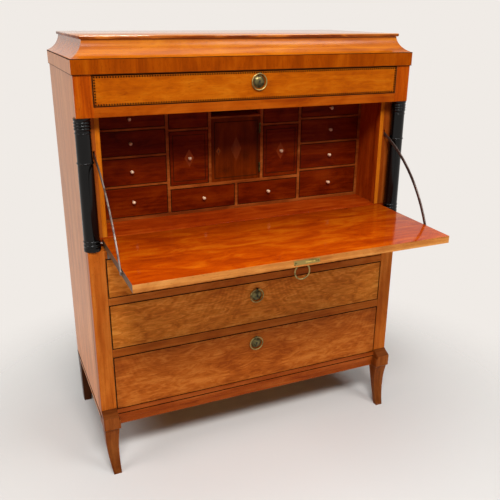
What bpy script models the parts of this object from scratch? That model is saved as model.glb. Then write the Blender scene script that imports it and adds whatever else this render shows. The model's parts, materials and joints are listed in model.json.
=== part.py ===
"""Fall-front secretaire in birch, with ebonised columns, a drawer nest and a fall held by iron stays.

Metres, +Z up. The fall is modelled open and every drawer shut. +X runs to the right of someone
facing the front, -Y is the front. The origin is on the floor under the middle of the whole
outline, the open fall included. FRONT is the plane of the drawer fronts.
"""
from math import asin, atan2, cos, hypot, pi, radians, sin, sqrt

import bmesh
import bpy
from mathutils import Matrix, Vector

for old in list(bpy.data.objects):
    bpy.data.objects.remove(old, do_unlink=True)

# Fits
SEAT = 0.0003            # gap between pieces that are glued or rest on each other
OVERRUN = 0.002          # how far a cutter passes through what it cuts
BITE = 0.0005            # how deep a piece sinks into the one it is fused with
WELD = 0.00001           # points nearer than this are one point

# Case
CASE_WIDTH = 1.0
CASE_DEPTH = 0.44
SIDE_THICK = 0.018
BACK_THICK = 0.012
BAY_DEPTH = 0.040        # from the front to the side boards and posts, where the columns stand
STILE_WIDTH = 0.0455
DUST_THICK = 0.010
GUIDE_HEIGHT = 0.015
RAIL_DEPTH = 0.060

# Heights, from the floor up
LEG_HEIGHT = 0.185
BOTTOM_THICK = 0.0175
LOWER_DRAWER_H = 0.1765
LOWER_RAIL_H = 0.0255
MIDDLE_DRAWER_H = 0.1405
UPPER_RAIL_H = 0.0215
UPPER_DRAWER_H = 0.119
LEDGE_H = 0.025
FALL_LIFT = 0.0035       # clearance of the open fall above the ledge
FALL_THICK = 0.0205
OPENING_H = 0.3335
FRIEZE_RAIL_H = 0.0255
FRIEZE_DRAWER_H = 0.080
CEILING_THICK = 0.012
BAND_H = 0.038
CAVETTO_H = 0.0437
TOP_THICK = 0.009

# Cornice
BAND_PROUD = 0.0034
BAND_WALL = 0.022
CAVETTO_RUN = 0.0370     # how far the hollow moulding draws in, from the band to the top board
CAVETTO_SAG = 0.0085     # depth of the hollow below its chord
CAVETTO_STEPS = 7
TOP_LIP = 0.006          # how far the top board stands over the moulding
TOP_ROUND = 0.003

# Base
SKIRT_H = 0.0162
APRON_H = 0.036
APRON_THICK = 0.020
APRON_SETBACK = 0.002
FRAME_WALL = 0.030
LEG_WIDTH = 0.0492
LEG_DEPTH = 0.0322
LEG_PROUD = 0.029
BLOCK_RISE = 0.0245      # the front leg's block laps up the stile by this much
BLOCK_FACE_RISE = 0.009
BLOCK_DROP = 0.029
KNEE_DROP = 0.037
KNEE_PROUD = 0.021
KNEE_BACK = 0.0215
KNEE_OUT_INSET = 0.0025
KNEE_IN_INSET = 0.0037
FOOT_PROUD = 0.036
FOOT_DEPTH = 0.018
FOOT_OUT_INSET = 0.0165
FOOT_WIDTH = 0.024
BACK_FOOT_INSET = 0.016
SABRE_STEPS = 7
SABRE_OUT_SHARE = 0.93   # how early the outer edge swings in, as a share of the foot's inset
SABRE_BACK_SHARE = 0.74  # place of the back curve's control, from the foot's back to the knee's
SABRE_IN_SHARE = 0.35

# Columns
COLUMN_RADIUS = 0.0230
COLUMN_PROUD = 0.0064    # how far it stands out past the side of the case
COLUMN_PROFILE_SHARES = (
    # radius as a share of COLUMN_RADIUS, height as a share of the column's height
    (0.96, 1.0), (0.96, 0.984), (0.89, 0.977), (0.96, 0.970), (0.96, 0.963), (0.89, 0.955),
    (0.96, 0.947), (0.96, 0.940), (0.89, 0.933), (0.95, 0.926), (0.95, 0.920), (0.88, 0.912),
    (0.89, 0.901), (0.95, 0.896), (0.95, 0.890), (0.89, 0.884),
    (0.90, 0.684), (0.96, 0.679), (0.96, 0.673), (0.90, 0.668),
    (0.95, 0.092), (0.95, 0.084), (1.0, 0.078), (1.0, 0.070), (0.94, 0.062),
    (0.94, 0.056), (1.0, 0.049), (1.0, 0.040), (0.94, 0.032), (1.0, 0.024), (1.0, 0.0),
)
COLUMN_SIDES = 20

# Fall
FALL_GAP = 0.001         # between the closed fall's free edge and the frieze rail
FALL_SIDE_GAP = 0.0079   # between the fall's ends and the columns
NOSE_GAP = 0.0007
NOSE_STEPS = 10
PIVOT_RADIUS = 0.003
PIVOT_LENGTH = 0.009     # the fall's pivot pins, into the column bases
PIN_FIT = 0.0004
LOCK_WIDTH = 0.075
LOCK_HEIGHT = 0.012
LOCK_THICK = 0.0016
LOCK_LET_IN = 0.0003
HINGE_PLATE_W = 0.0066
HINGE_PLATE_THICK = 0.0016
HINGE_PLATE_INSET = 0.006

# Stays
STAY_REACH = 0.234       # from the fall's hinge line to the stay's pin
STAY_RADIUS = 0.44       # of the arm's curve
STAY_SLOT_RISE = 0.2392  # from the hinge line up to where the arm enters the post
STAY_WIDTH = 0.009
STAY_THICK = 0.0035
STAY_GAP = 0.0013        # between the fall's end and the arm
STAY_HEAD_RADIUS = 0.012
STAY_EYE_RADIUS = 0.0075
STAY_PIN_RADIUS = 0.003
STAY_PIN_LENGTH = 0.010
STAY_STEPS = 12
STAY_ROUND_STEPS = 10
SLOT_HEIGHT = 0.0225
SLOT_DROP = 0.0099       # from the arm's entry point down to the slot's foot
SLOT_SIDE_GAP = 0.0007

# Posts and the compartment's lining
POST_THICK = 0.020
POST_WIDTH = 0.0455
LINING_THICK = 0.007
LINING_BITE = 0.006

# Nest of small drawers
NEST_SETBACK = 0.166     # from the case front
NEST_TOP_THICK = 0.006
NEST_FLOOR_THICK = 0.0098
NEST_BACK_THICK = 0.006
BANK_CLEAR = 0.0005      # the outer banks end this far inside the posts, which they slide past
NEST_DIVIDER = 0.009
NEST_RAIL = 0.006
NEST_SHELF = 0.0095
BANK_INNER_X = 0.2190    # middle of the partitions beside the outer banks
CUPBOARD_X = 0.0862      # middle of the partitions beside the cupboard
BANK_DRAWER_1_H = 0.0540
BANK_DRAWER_2_H = 0.0730
BANK_DRAWER_3_H = 0.0810
TALL_DRAWER_H = 0.1652
LOW_DRAWER_H = 0.0718
CUPBOARD_H = 0.1949
DOOR_THICK = 0.012
DOOR_KNUCKLE_RADIUS = 0.003
DOOR_KNUCKLE_LENGTH = 0.030
DOOR_KNUCKLE_RISE = 0.020
ROUND_SIDES = 16

# Drawers
FRONT_GAP = 0.0010
LONG_FRONT_THICK = 0.020
LONG_WALL = 0.012
LONG_BOTTOM = 0.009
LONG_BACK_ROOM = 0.017   # space behind a long drawer
SMALL_GAP = 0.0006
SMALL_FRONT_THICK = 0.010
SMALL_WALL = 0.005
SMALL_BOTTOM = 0.004
SMALL_BACK_ROOM = 0.006
KNOB_RADIUS = 0.0058
KNOB_LENGTH = 0.0125
KNOB_PROFILE_SHARES = (
    # radius as a share of KNOB_RADIUS, height as a share of KNOB_LENGTH
    (0.0, 1.0), (0.52, 0.95), (0.90, 0.80), (1.0, 0.62), (0.84, 0.42), (0.50, 0.30), (0.50, 0.0),
)
KNOB_SIDES = 12

# Ring pulls: a domed plate with an eye at its top, and a ring round the plate
PULL_FROM_EDGE = 0.046   # centre of the plate below the drawer's top edge
FRIEZE_PULL_FROM_EDGE = 0.0315
PLATE_RADIUS = 0.0170
PLATE_DOME = 0.0062
PLATE_PROFILE_SHARES = (
    # radius as a share of PLATE_RADIUS, height as a share of PLATE_DOME
    (0.0, 1.0), (0.35, 0.95), (0.62, 0.78), (0.80, 0.50), (0.87, 0.28), (1.0, 0.22), (1.0, 0.0),
)
PLATE_SIDES = 20
RING_RADIUS = 0.0215     # to the middle of the wire
RING_WIRE = 0.0019
RING_SEGMENTS = 24
RING_SIDES = 6
EYE_RADIUS = 0.0035
EYE_BORE = 0.0024
EYE_LENGTH = 0.0055
EYE_LIFT = 0.0040        # from the drawer's face to the ring's axis
EYE_NECK_WIDTH = 0.0040
EYE_NECK_OVERLAP = 0.0040

# Worked-out places across the case
HALF = CASE_WIDTH / 2
SIDE_INNER = HALF - SIDE_THICK
STILE_INNER = HALF - STILE_WIDTH
COLUMN_X = HALF - COLUMN_RADIUS + COLUMN_PROUD
FALL_HALF = COLUMN_X - COLUMN_RADIUS - FALL_SIDE_GAP
STAY_INNER = FALL_HALF + STAY_GAP
STAY_OUTER = STAY_INNER + STAY_THICK
LINING_OUTER = STAY_INNER - 2 * SLOT_SIDE_GAP
LINING_INNER = LINING_OUTER - LINING_THICK
POST_INNER = SIDE_INNER - POST_WIDTH
NEST_HALF = LINING_INNER - SEAT

# Worked-out heights
CARCASS_Z = LEG_HEIGHT + SEAT
LOWER_DRAWER_Z = CARCASS_Z + BOTTOM_THICK
LOWER_RAIL_Z = LOWER_DRAWER_Z + LOWER_DRAWER_H
MIDDLE_DRAWER_Z = LOWER_RAIL_Z + LOWER_RAIL_H
UPPER_RAIL_Z = MIDDLE_DRAWER_Z + MIDDLE_DRAWER_H
UPPER_DRAWER_Z = UPPER_RAIL_Z + UPPER_RAIL_H
LEDGE_RAIL_Z = UPPER_DRAWER_Z + UPPER_DRAWER_H
LEDGE_Z = LEDGE_RAIL_Z + LEDGE_H
HINGE_Z = LEDGE_Z + FALL_LIFT + FALL_THICK / 2
FLOOR_Z = LEDGE_Z + FALL_LIFT + FALL_THICK
FRIEZE_Z = FLOOR_Z + OPENING_H
FRIEZE_DRAWER_Z = FRIEZE_Z + FRIEZE_RAIL_H
BAND_Z = FRIEZE_DRAWER_Z + FRIEZE_DRAWER_H
CAVETTO_Z = BAND_Z + BAND_H + SEAT
TOP_Z = CAVETTO_Z + CAVETTO_H + SEAT
NEST_Z = FLOOR_Z + SEAT
NEST_TOP_Z = FRIEZE_Z - SEAT

# Worked-out depths, from the case front towards the back
COLUMN_Y = BAY_DEPTH - SEAT - COLUMN_RADIUS
FALL_BACK_Y = BAY_DEPTH - SEAT
HINGE_Y = FALL_BACK_Y - FALL_THICK / 2
FALL_LENGTH = FRIEZE_Z - FALL_GAP - HINGE_Z
FALL_REACH = FALL_LENGTH - HINGE_Y
FLOOR_FRONT_Y = HINGE_Y + FALL_THICK / 2 + NOSE_GAP
BACK_Y = CASE_DEPTH - BACK_THICK
INNER_BACK_Y = BACK_Y - SEAT
POST_FRONT_Y = FLOOR_FRONT_Y
POST_BACK_Y = POST_FRONT_Y + POST_THICK
NEST_BACK_Y = INNER_BACK_Y - SEAT
FRONT = (FALL_REACH - CASE_DEPTH) / 2

parts = bpy.data.collections.new("fall_front_secretaire")
tools = bpy.data.collections.new("cutters")
for group in (parts, tools):
    bpy.context.scene.collection.children.link(group)


def material(name, colour, roughness, metallic=0.0):
    made = bpy.data.materials.get(name) or bpy.data.materials.new(name)
    made.use_nodes = True
    shader = made.node_tree.nodes["Principled BSDF"]
    shader.inputs["Base Color"].default_value = (*colour, 1.0)
    shader.inputs["Roughness"].default_value = roughness
    shader.inputs["Metallic"].default_value = metallic
    return made


def birch(name):
    return material("birch_" + name, (0.42, 0.15, 0.035), 0.22)


def mahogany(name):
    return material("mahogany_" + name, (0.11, 0.018, 0.007), 0.30)


def ebonised(name):
    return material("ebonised_" + name, (0.012, 0.012, 0.014), 0.28)


def brass(name):
    return material("brass_" + name, (0.30, 0.22, 0.09), 0.38, 1.0)


def iron(name):
    return material("iron_" + name, (0.09, 0.07, 0.065), 0.45, 1.0)


def place(name, mesh, look, pivot):
    """An object in the part's collection, at its pivot measured from the case front."""
    made = bpy.data.objects.new(name, mesh)
    made.location = (pivot[0], FRONT + pivot[1], pivot[2])
    parts.objects.link(made)
    mesh.materials.append(look)
    return made


def as_tool(tool):
    for group in list(tool.users_collection):
        group.objects.unlink(tool)
    tools.objects.link(tool)
    tool.hide_render = True
    tool.display_type = "WIRE"
    return tool


def combine(body, tool, operation):
    """Leave a Boolean on the body, with the other solid kept as its tool."""
    step = body.modifiers.new(operation.lower(), "BOOLEAN")
    step.operation = operation
    step.solver = "EXACT"
    step.object = as_tool(tool)
    return body


def cut(body, *cutters):
    for cutter in cutters:
        combine(body, cutter, "DIFFERENCE")
    return body


def fuse(body, *others):
    for other in others:
        combine(body, other, "UNION")
    return body


def box_mesh(name, x, y, z, pivot):
    bm = bmesh.new()
    bmesh.ops.create_cube(bm, size=1)
    size = Vector((x[1] - x[0], y[1] - y[0], z[1] - z[0]))
    middle = Vector((x[0] + x[1], y[0] + y[1], z[0] + z[1])) / 2 - Vector(pivot)
    for vertex in bm.verts:
        vertex.co = Vector(a * b for a, b in zip(vertex.co, size)) + middle
    mesh = bpy.data.meshes.new(name)
    bm.to_mesh(mesh)
    bm.free()
    return mesh


def block(name, x, y, z, look, pivot=None):
    """A box from ranges along x, y and z, with y measured from the case front."""
    x, y, z = sorted(x), sorted(y), sorted(z)
    pivot = pivot or (sum(x) / 2, sum(y) / 2, sum(z) / 2)
    return place(name, box_mesh(name, x, y, z, pivot), look, pivot)


def spare(name, x, y, z):
    """A box that only serves as a Boolean's other solid."""
    return as_tool(block("tool_" + name, x, y, z, birch("tool")))


def rod(name, x, y, z, radius, sides, look):
    """A cylinder along X between two x places."""
    bm = bmesh.new()
    bmesh.ops.create_cone(bm, cap_ends=True, segments=sides, radius1=radius, radius2=radius,
                          depth=abs(x[1] - x[0]), matrix=Matrix.Rotation(pi / 2, 4, "Y"))
    mesh = bpy.data.meshes.new(name)
    bm.to_mesh(mesh)
    bm.free()
    mesh.set_sharp_from_angle(angle=radians(40))
    mesh.shade_smooth()
    return place(name, mesh, look, (sum(x) / 2, y, z))


def flat_mesh(name, loops, thickness):
    """A solid plate from closed outlines in its own XY plane; inner loops are holes."""
    curve = bpy.data.curves.new(name, "CURVE")
    curve.dimensions = "2D"
    curve.fill_mode = "BOTH"
    curve.extrude = thickness / 2
    for loop in loops:
        spline = curve.splines.new("POLY")
        spline.points.add(len(loop) - 1)
        for point, (u, v) in zip(spline.points, loop):
            point.co = (u, v, 0, 1)
        spline.use_cyclic_u = True
    holder = bpy.data.objects.new(name, curve)
    bpy.context.scene.collection.objects.link(holder)
    bpy.context.view_layer.update()
    seen = holder.evaluated_get(bpy.context.evaluated_depsgraph_get())
    mesh = bpy.data.meshes.new_from_object(seen)
    bpy.data.objects.remove(holder, do_unlink=True)
    bpy.data.curves.remove(curve)
    bm = bmesh.new()
    bm.from_mesh(mesh)
    bmesh.ops.remove_doubles(bm, verts=bm.verts, dist=WELD)
    bm.to_mesh(mesh)
    bm.free()
    mesh.materials.clear()
    return mesh


def side_plate(name, outline, thickness, look, pivot):
    """A plate whose outline lies in the YZ plane, given from the pivot."""
    mesh = flat_mesh(name, [outline], thickness)
    mesh.transform(Matrix(((0, 0, 1, 0), (1, 0, 0, 0), (0, 1, 0, 0), (0, 0, 0, 1))))
    return place(name, mesh, look, pivot)


def turned(name, profile, sides, look, pivot):
    """A turned piece about its own Z, from radius and height pairs listed top to bottom."""
    ends = [(0, profile[0][1])] if profile[0][0] else []
    closed = ends + list(profile) + [(0, profile[-1][1])]
    mesh = bpy.data.meshes.new(name)
    mesh.from_pydata([(radius, 0, height) for radius, height in closed],
                     [(i, i + 1) for i in range(len(closed) - 1)], [])
    made = place(name, mesh, look, pivot)
    screw = made.modifiers.new("turn", "SCREW")
    screw.steps = sides
    screw.render_steps = sides
    screw.use_merge_vertices = True
    screw.merge_threshold = WELD
    screw.use_smooth_shade = True
    return made


def shares_of(table, radius, height):
    return [(r * radius, h * height) for r, h in table]


def loft_mesh(name, sections):
    """A closed solid through four-cornered sections (x range, y range, height)."""
    bm = bmesh.new()
    rings = []
    for x, y, z in sections:
        corners = ((x[0], y[0]), (x[1], y[0]), (x[1], y[1]), (x[0], y[1]))
        rings.append([bm.verts.new((a, b, z)) for a, b in corners])
    for low, high in zip(rings, rings[1:]):
        for i in range(4):
            j = (i + 1) % 4
            bm.faces.new((low[i], low[j], high[j], high[i]))
    bm.faces.new(list(reversed(rings[0])))
    bm.faces.new(rings[-1])
    bmesh.ops.recalc_face_normals(bm, faces=bm.faces)
    mesh = bpy.data.meshes.new(name)
    bm.to_mesh(mesh)
    bm.free()
    return mesh


def bezier(a, b, c, t):
    return a * (1 - t) ** 2 + 2 * b * t * (1 - t) + c * t * t


def mirrored(side, near, far):
    """A range of x on one side of the case, from distances to its middle."""
    return sorted((side * near, side * far))


SIDES = (("left", -1), ("right", 1))


def case_boards():
    for word, side in SIDES:
        block("side_" + word, mirrored(side, SIDE_INNER, HALF), (BAY_DEPTH, CASE_DEPTH),
              (CARCASS_Z, BAND_Z - SEAT), birch("side_" + word))
        block("lower_stile_" + word, mirrored(side, STILE_INNER, HALF), (0, BAY_DEPTH - SEAT),
              (CARCASS_Z, LEDGE_Z), birch("stile_" + word))
    inner = SIDE_INNER - SEAT
    block("back_panel", (-inner, inner), (BACK_Y, CASE_DEPTH), (CARCASS_Z, BAND_Z - SEAT),
          birch("back_panel"))
    front_half = STILE_INNER - SEAT
    block("ledge_rail", (-front_half, front_half), (0, RAIL_DEPTH), (LEDGE_RAIL_Z, LEDGE_Z),
          birch("ledge_rail"))
    dust_board("bottom_board", CARCASS_Z, BOTTOM_THICK, BOTTOM_THICK)
    dust_board("rail_lower", LOWER_RAIL_Z, LOWER_RAIL_H, DUST_THICK)
    dust_board("rail_upper", UPPER_RAIL_Z, UPPER_RAIL_H, DUST_THICK)


def dust_board(name, z, height, thickness):
    """A front rail with the board behind it that a long drawer runs on, and its two guides."""
    front_half = STILE_INNER - SEAT
    inner = SIDE_INNER - SEAT
    top = z + height
    body = block(name, (-front_half, front_half), (0, RAIL_DEPTH), (z, top), birch(name))
    board = spare(name + "_board", (-inner, inner), (BAY_DEPTH, INNER_BACK_Y),
                  (top - thickness, top))
    guides = [
        spare(name + "_guide_" + word, mirrored(side, STILE_INNER, inner),
              (BAY_DEPTH, INNER_BACK_Y), (top - thickness / 2, top + GUIDE_HEIGHT))
        for word, side in SIDES
    ]
    return fuse(body, board, *guides)


def compartment():
    """Floor, ceiling, and on each side the slotted post with the lining board behind it."""
    inner = SIDE_INNER - SEAT
    block("compartment_floor", (-inner, inner), (FLOOR_FRONT_Y, INNER_BACK_Y),
          (LEDGE_Z + SEAT, FLOOR_Z), birch("floor"))
    top = FRIEZE_Z + CEILING_THICK
    ceiling = block("compartment_ceiling", (-inner, inner), (RAIL_DEPTH, INNER_BACK_Y),
                    (FRIEZE_Z, top), birch("ceiling"))
    runners = []
    for word, side in SIDES:
        runners.append(spare("runner_" + word, mirrored(side, STILE_INNER - STILE_WIDTH, inner),
                             (RAIL_DEPTH, INNER_BACK_Y), (top - BITE, FRIEZE_DRAWER_Z)))
        runners.append(spare("frieze_guide_" + word, mirrored(side, STILE_INNER, inner),
                             (RAIL_DEPTH, INNER_BACK_Y),
                             (top - BITE, FRIEZE_DRAWER_Z + GUIDE_HEIGHT)))
    fuse(ceiling, *runners)
    slot_z = HINGE_Z + STAY_SLOT_RISE - SLOT_DROP
    for word, side in SIDES:
        height = (FLOOR_Z + SEAT, FRIEZE_Z - SEAT)
        post = block("inner_post_" + word, mirrored(side, POST_INNER, inner),
                     (POST_FRONT_Y, POST_BACK_Y), height, mahogany("post_" + word))
        lining = spare("lining_" + word, mirrored(side, LINING_INNER, LINING_OUTER),
                       (POST_BACK_Y - LINING_BITE, INNER_BACK_Y), height)
        slot = spare("slot_" + word,
                     mirrored(side, STAY_INNER - SLOT_SIDE_GAP, STAY_OUTER + SLOT_SIDE_GAP),
                     (POST_FRONT_Y - OVERRUN, POST_BACK_Y + OVERRUN),
                     (slot_z, slot_z + SLOT_HEIGHT))
        cut(fuse(post, lining), slot)


def frieze():
    """The two short stiles beside the frieze drawer and the rail under it, as one frame."""
    rail = block("frieze_frame", (-STILE_INNER - BITE, STILE_INNER + BITE),
                 (0, RAIL_DEPTH - SEAT), (FRIEZE_Z, FRIEZE_DRAWER_Z), birch("frieze"))
    for word, side in SIDES:
        fuse(rail, spare("frieze_stile_" + word, mirrored(side, STILE_INNER, HALF),
                         (0, BAY_DEPTH - SEAT), (FRIEZE_Z, BAND_Z - SEAT)))


def cornice():
    """Plain band, hollow moulding and top board. The band and the moulding are open frames."""
    half = HALF + BAND_PROUD
    hollow = half - BAND_WALL
    band = block("cornice_band", (-half, half), (-BAND_PROUD, CASE_DEPTH), (BAND_Z, BAND_Z + BAND_H),
                 birch("band"))
    inner_y = (BAND_WALL - BAND_PROUD, CASE_DEPTH - BAND_WALL)
    cut(band, spare("band_hollow", (-hollow, hollow), inner_y,
                    (BAND_Z - OVERRUN, BAND_Z + BAND_H + OVERRUN)))
    chord = hypot(CAVETTO_RUN, CAVETTO_H)
    radius = (chord / 2) ** 2 / (2 * CAVETTO_SAG) + CAVETTO_SAG / 2
    half_angle = asin(chord / 2 / radius)
    lean = atan2(CAVETTO_H, CAVETTO_RUN)
    sections = []
    for i in range(CAVETTO_STEPS + 1):
        angle = half_angle * (2 * i / CAVETTO_STEPS - 1)
        along = chord / 2 + radius * sin(angle)
        sag = radius * (cos(angle) - cos(half_angle))
        drawn_in = along * cos(lean) + sag * sin(lean)
        rise = along * sin(lean) - sag * cos(lean)
        sections.append(((drawn_in - half, half - drawn_in),
                         (drawn_in - BAND_PROUD, CASE_DEPTH), rise))
    cavetto = place("cornice_cavetto", loft_mesh("cornice_cavetto", sections), birch("cavetto"),
                    (0, 0, CAVETTO_Z))
    open_x = half - CAVETTO_RUN - BAND_WALL
    cut(cavetto, spare("cavetto_hollow", (-open_x, open_x),
                       (CAVETTO_RUN + BAND_WALL - BAND_PROUD, CASE_DEPTH - BAND_WALL),
                       (CAVETTO_Z - OVERRUN, CAVETTO_Z + CAVETTO_H + OVERRUN)))
    top_half = half - CAVETTO_RUN + TOP_LIP
    top = block("top_board", (-top_half, top_half),
                (CAVETTO_RUN - BAND_PROUD - TOP_LIP, CASE_DEPTH), (TOP_Z, TOP_Z + TOP_THICK),
                birch("top"))
    rounding = top.modifiers.new("round", "BEVEL")
    rounding.width = TOP_ROUND
    rounding.segments = 2
    rounding.limit_method = "ANGLE"


def base():
    """A flat frame under the carcass with the apron at its front, and four legs in its corners."""
    inner_x = HALF - LEG_WIDTH - SEAT
    front_y = LEG_DEPTH + SEAT
    back_y = CASE_DEPTH - LEG_WIDTH - SEAT
    frame = block("base_frame", (-HALF, HALF), (0, CASE_DEPTH), (LEG_HEIGHT - SKIRT_H, LEG_HEIGHT),
                  birch("base"))
    through = (LEG_HEIGHT - SKIRT_H - OVERRUN, LEG_HEIGHT + OVERRUN)
    hole_x = inner_x - FRAME_WALL
    cut(frame, spare("frame_hole", (-hole_x, hole_x), (front_y + FRAME_WALL, back_y - FRAME_WALL),
                     through))
    for word, side in SIDES:
        outside = mirrored(side, inner_x, HALF + OVERRUN)
        cut(frame, spare("front_notch_" + word, outside, (-OVERRUN, front_y), through),
            spare("back_notch_" + word, outside, (back_y, CASE_DEPTH + OVERRUN), through))
        front_leg(word, side)
        back_leg(word, side)
    fuse(frame, spare("apron", (SEAT - inner_x, inner_x - SEAT),
                      (APRON_SETBACK, APRON_SETBACK + APRON_THICK),
                      (LEG_HEIGHT - APRON_H, LEG_HEIGHT - SKIRT_H + BITE)))


def front_leg(word, side):
    """A block lapping up the stile, no wider than it, a knee, then a tapered sabre leg."""
    pivot = (side * (HALF - LEG_WIDTH / 2), 0, 0)
    knee_z = LEG_HEIGHT - KNEE_DROP
    near = HALF - LEG_WIDTH
    knee = (near + KNEE_IN_INSET, HALF - KNEE_OUT_INSET)
    foot_out = HALF - FOOT_OUT_INSET
    foot = (foot_out - FOOT_WIDTH, foot_out)
    out_control = HALF - KNEE_OUT_INSET - FOOT_OUT_INSET * (1 - SABRE_OUT_SHARE)
    in_control = knee[0] + (foot[0] - knee[0]) * (1 + SABRE_IN_SHARE)
    foot_back = FOOT_DEPTH - FOOT_PROUD
    back_control = foot_back + (KNEE_BACK - foot_back) * SABRE_BACK_SHARE
    sections = []
    for i in range(SABRE_STEPS + 1):
        t = i / SABRE_STEPS
        inner = bezier(foot[0], in_control, knee[0], t)
        outer = bezier(foot[1], out_control, knee[1], t)
        front = bezier(-FOOT_PROUD, 0, -KNEE_PROUD, t)
        back = bezier(foot_back, back_control, KNEE_BACK, t)
        sections.append((mirrored(side, inner, outer), (front, back), knee_z * t))
    whole = mirrored(side, near, HALF)
    sections.append((whole, (-LEG_PROUD, LEG_DEPTH), LEG_HEIGHT - BLOCK_DROP))
    sections.append((whole, (-LEG_PROUD, LEG_DEPTH), LEG_HEIGHT))
    mesh = loft_mesh("leg", sections)
    mesh.transform(Matrix.Translation((-pivot[0], 0, 0)))
    leg = place("leg_front_" + word, mesh, birch("leg_front_" + word), pivot)
    lap = [(-SEAT, LEG_HEIGHT - BLOCK_DROP / 2), (-SEAT, LEG_HEIGHT + BLOCK_RISE),
           (-SEAT - BITE, LEG_HEIGHT + BLOCK_RISE),
           (-LEG_PROUD, LEG_HEIGHT + BLOCK_FACE_RISE), (-LEG_PROUD, LEG_HEIGHT - BLOCK_DROP / 2)]
    lap_width = STILE_WIDTH - SEAT
    fuse(leg, side_plate("tool_lap_" + word, lap, lap_width, birch("tool"),
                         (side * (HALF - lap_width / 2), 0, 0)))


def back_leg(word, side):
    """A plain tapered leg under the back corner."""
    near = HALF - LEG_WIDTH
    back = CASE_DEPTH - BACK_FOOT_INSET
    foot = mirrored(side, HALF - KNEE_OUT_INSET - FOOT_WIDTH, HALF - KNEE_OUT_INSET)
    whole = mirrored(side, near, HALF)
    block_y = (CASE_DEPTH - LEG_WIDTH, CASE_DEPTH)
    pivot = (side * (HALF - LEG_WIDTH / 2), CASE_DEPTH, 0)
    sections = [
        (foot, (back - FOOT_WIDTH, back), 0),
        (whole, block_y, LEG_HEIGHT - BLOCK_DROP),
        (whole, block_y, LEG_HEIGHT),
    ]
    mesh = loft_mesh("leg", sections)
    mesh.transform(Matrix.Translation((-pivot[0], -pivot[1], 0)))
    place("leg_back_" + word, mesh, birch("leg_back_" + word), pivot)


def columns():
    height = FRIEZE_Z - LEDGE_Z - 2 * SEAT
    for word, side in SIDES:
        profile = shares_of(COLUMN_PROFILE_SHARES, COLUMN_RADIUS, height)
        column = turned("column_" + word, profile, COLUMN_SIDES, ebonised(word),
                        (side * COLUMN_X, COLUMN_Y, LEDGE_Z + SEAT))
        start = side * FALL_HALF
        end = side * (FALL_HALF + FALL_SIDE_GAP + PIVOT_LENGTH + PIN_FIT)
        cut(column, rod("tool_socket_" + word, (start, end), HINGE_Y, HINGE_Z,
                        PIVOT_RADIUS + PIN_FIT, ROUND_SIDES, iron("tool")))


def fall():
    """The writing board: square free edge, round nose on the hinge line, pivot pins at its ends."""
    radius = FALL_THICK / 2
    nose = []
    for i in range(NOSE_STEPS + 1):
        angle = pi * i / NOSE_STEPS - pi / 2
        nose.append((radius * cos(angle), radius * sin(angle)))
    outline = nose + [(-FALL_LENGTH, radius), (-FALL_LENGTH, -radius)]
    hinge = (0, HINGE_Y, HINGE_Z)
    board = side_plate("fall_front", outline, 2 * FALL_HALF, birch("fall"), hinge)
    pin_y, pin_z = stay_pin()
    for word, side in SIDES:
        end = side * (FALL_HALF + FALL_SIDE_GAP + PIVOT_LENGTH)
        fuse(board, rod("tool_pivot_" + word, (side * (FALL_HALF - PIVOT_LENGTH), end), HINGE_Y,
                        HINGE_Z, PIVOT_RADIUS, ROUND_SIDES, iron("tool")))
        deep = side * (FALL_HALF - STAY_PIN_LENGTH - PIN_FIT)
        cut(board, rod("tool_stay_hole_" + word, (deep, side * (FALL_HALF + OVERRUN)), pin_y,
                       pin_z, STAY_PIN_RADIUS + PIN_FIT, ROUND_SIDES, iron("tool")))
    edge = HINGE_Y - FALL_LENGTH
    half_w = LOCK_WIDTH / 2
    half_h = LOCK_HEIGHT / 2
    cut(board, spare("lock_pocket", (-half_w - SEAT, half_w + SEAT),
                     (edge - OVERRUN, edge + LOCK_THICK + LOCK_LET_IN),
                     (HINGE_Z - half_h - SEAT, HINGE_Z + half_h + SEAT)))
    block("fall_lock", (-half_w, half_w), (edge, edge + LOCK_THICK),
          (HINGE_Z - half_h, HINGE_Z + half_h), brass("lock"), hinge)
    for word, side in SIDES:
        outer = STILE_INNER - SEAT - HINGE_PLATE_INSET
        block("hinge_plate_" + word, mirrored(side, outer - HINGE_PLATE_W, outer),
              (-SEAT - HINGE_PLATE_THICK, -SEAT), (LEDGE_RAIL_Z, LEDGE_Z),
              iron("hinge_plate_" + word))


def stay_pin():
    """Where the stay's pin lies with the fall open: on the fall's middle plane."""
    return HINGE_Y - STAY_REACH, HINGE_Z


def stay_curve():
    """Centre of the arm's curve and its angles at the pin and where it enters the post."""
    pin = Vector((-STAY_REACH, 0))
    entry = Vector((POST_FRONT_Y - HINGE_Y, STAY_SLOT_RISE))
    chord = entry - pin
    across = Vector((chord.y, -chord.x)).normalized()
    centre = (pin + entry) / 2 + across * sqrt(STAY_RADIUS ** 2 - (chord.length / 2) ** 2)
    start = atan2(pin.y - centre.y, pin.x - centre.x) % (2 * pi)
    finish = atan2(entry.y - centre.y, entry.x - centre.x) % (2 * pi)
    return centre, start, finish


def round_end(centre, first, last, radius):
    """Points of a round end, the long way round its centre from one point to another."""
    begin = atan2(first.y - centre.y, first.x - centre.x)
    sweep = (atan2(last.y - centre.y, last.x - centre.x) - begin) % (2 * pi)
    if sweep < pi:
        sweep -= 2 * pi
    angles = [begin + sweep * i / STAY_ROUND_STEPS for i in range(1, STAY_ROUND_STEPS)]
    return [centre + Vector((cos(angle), sin(angle))) * radius for angle in angles]


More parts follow.
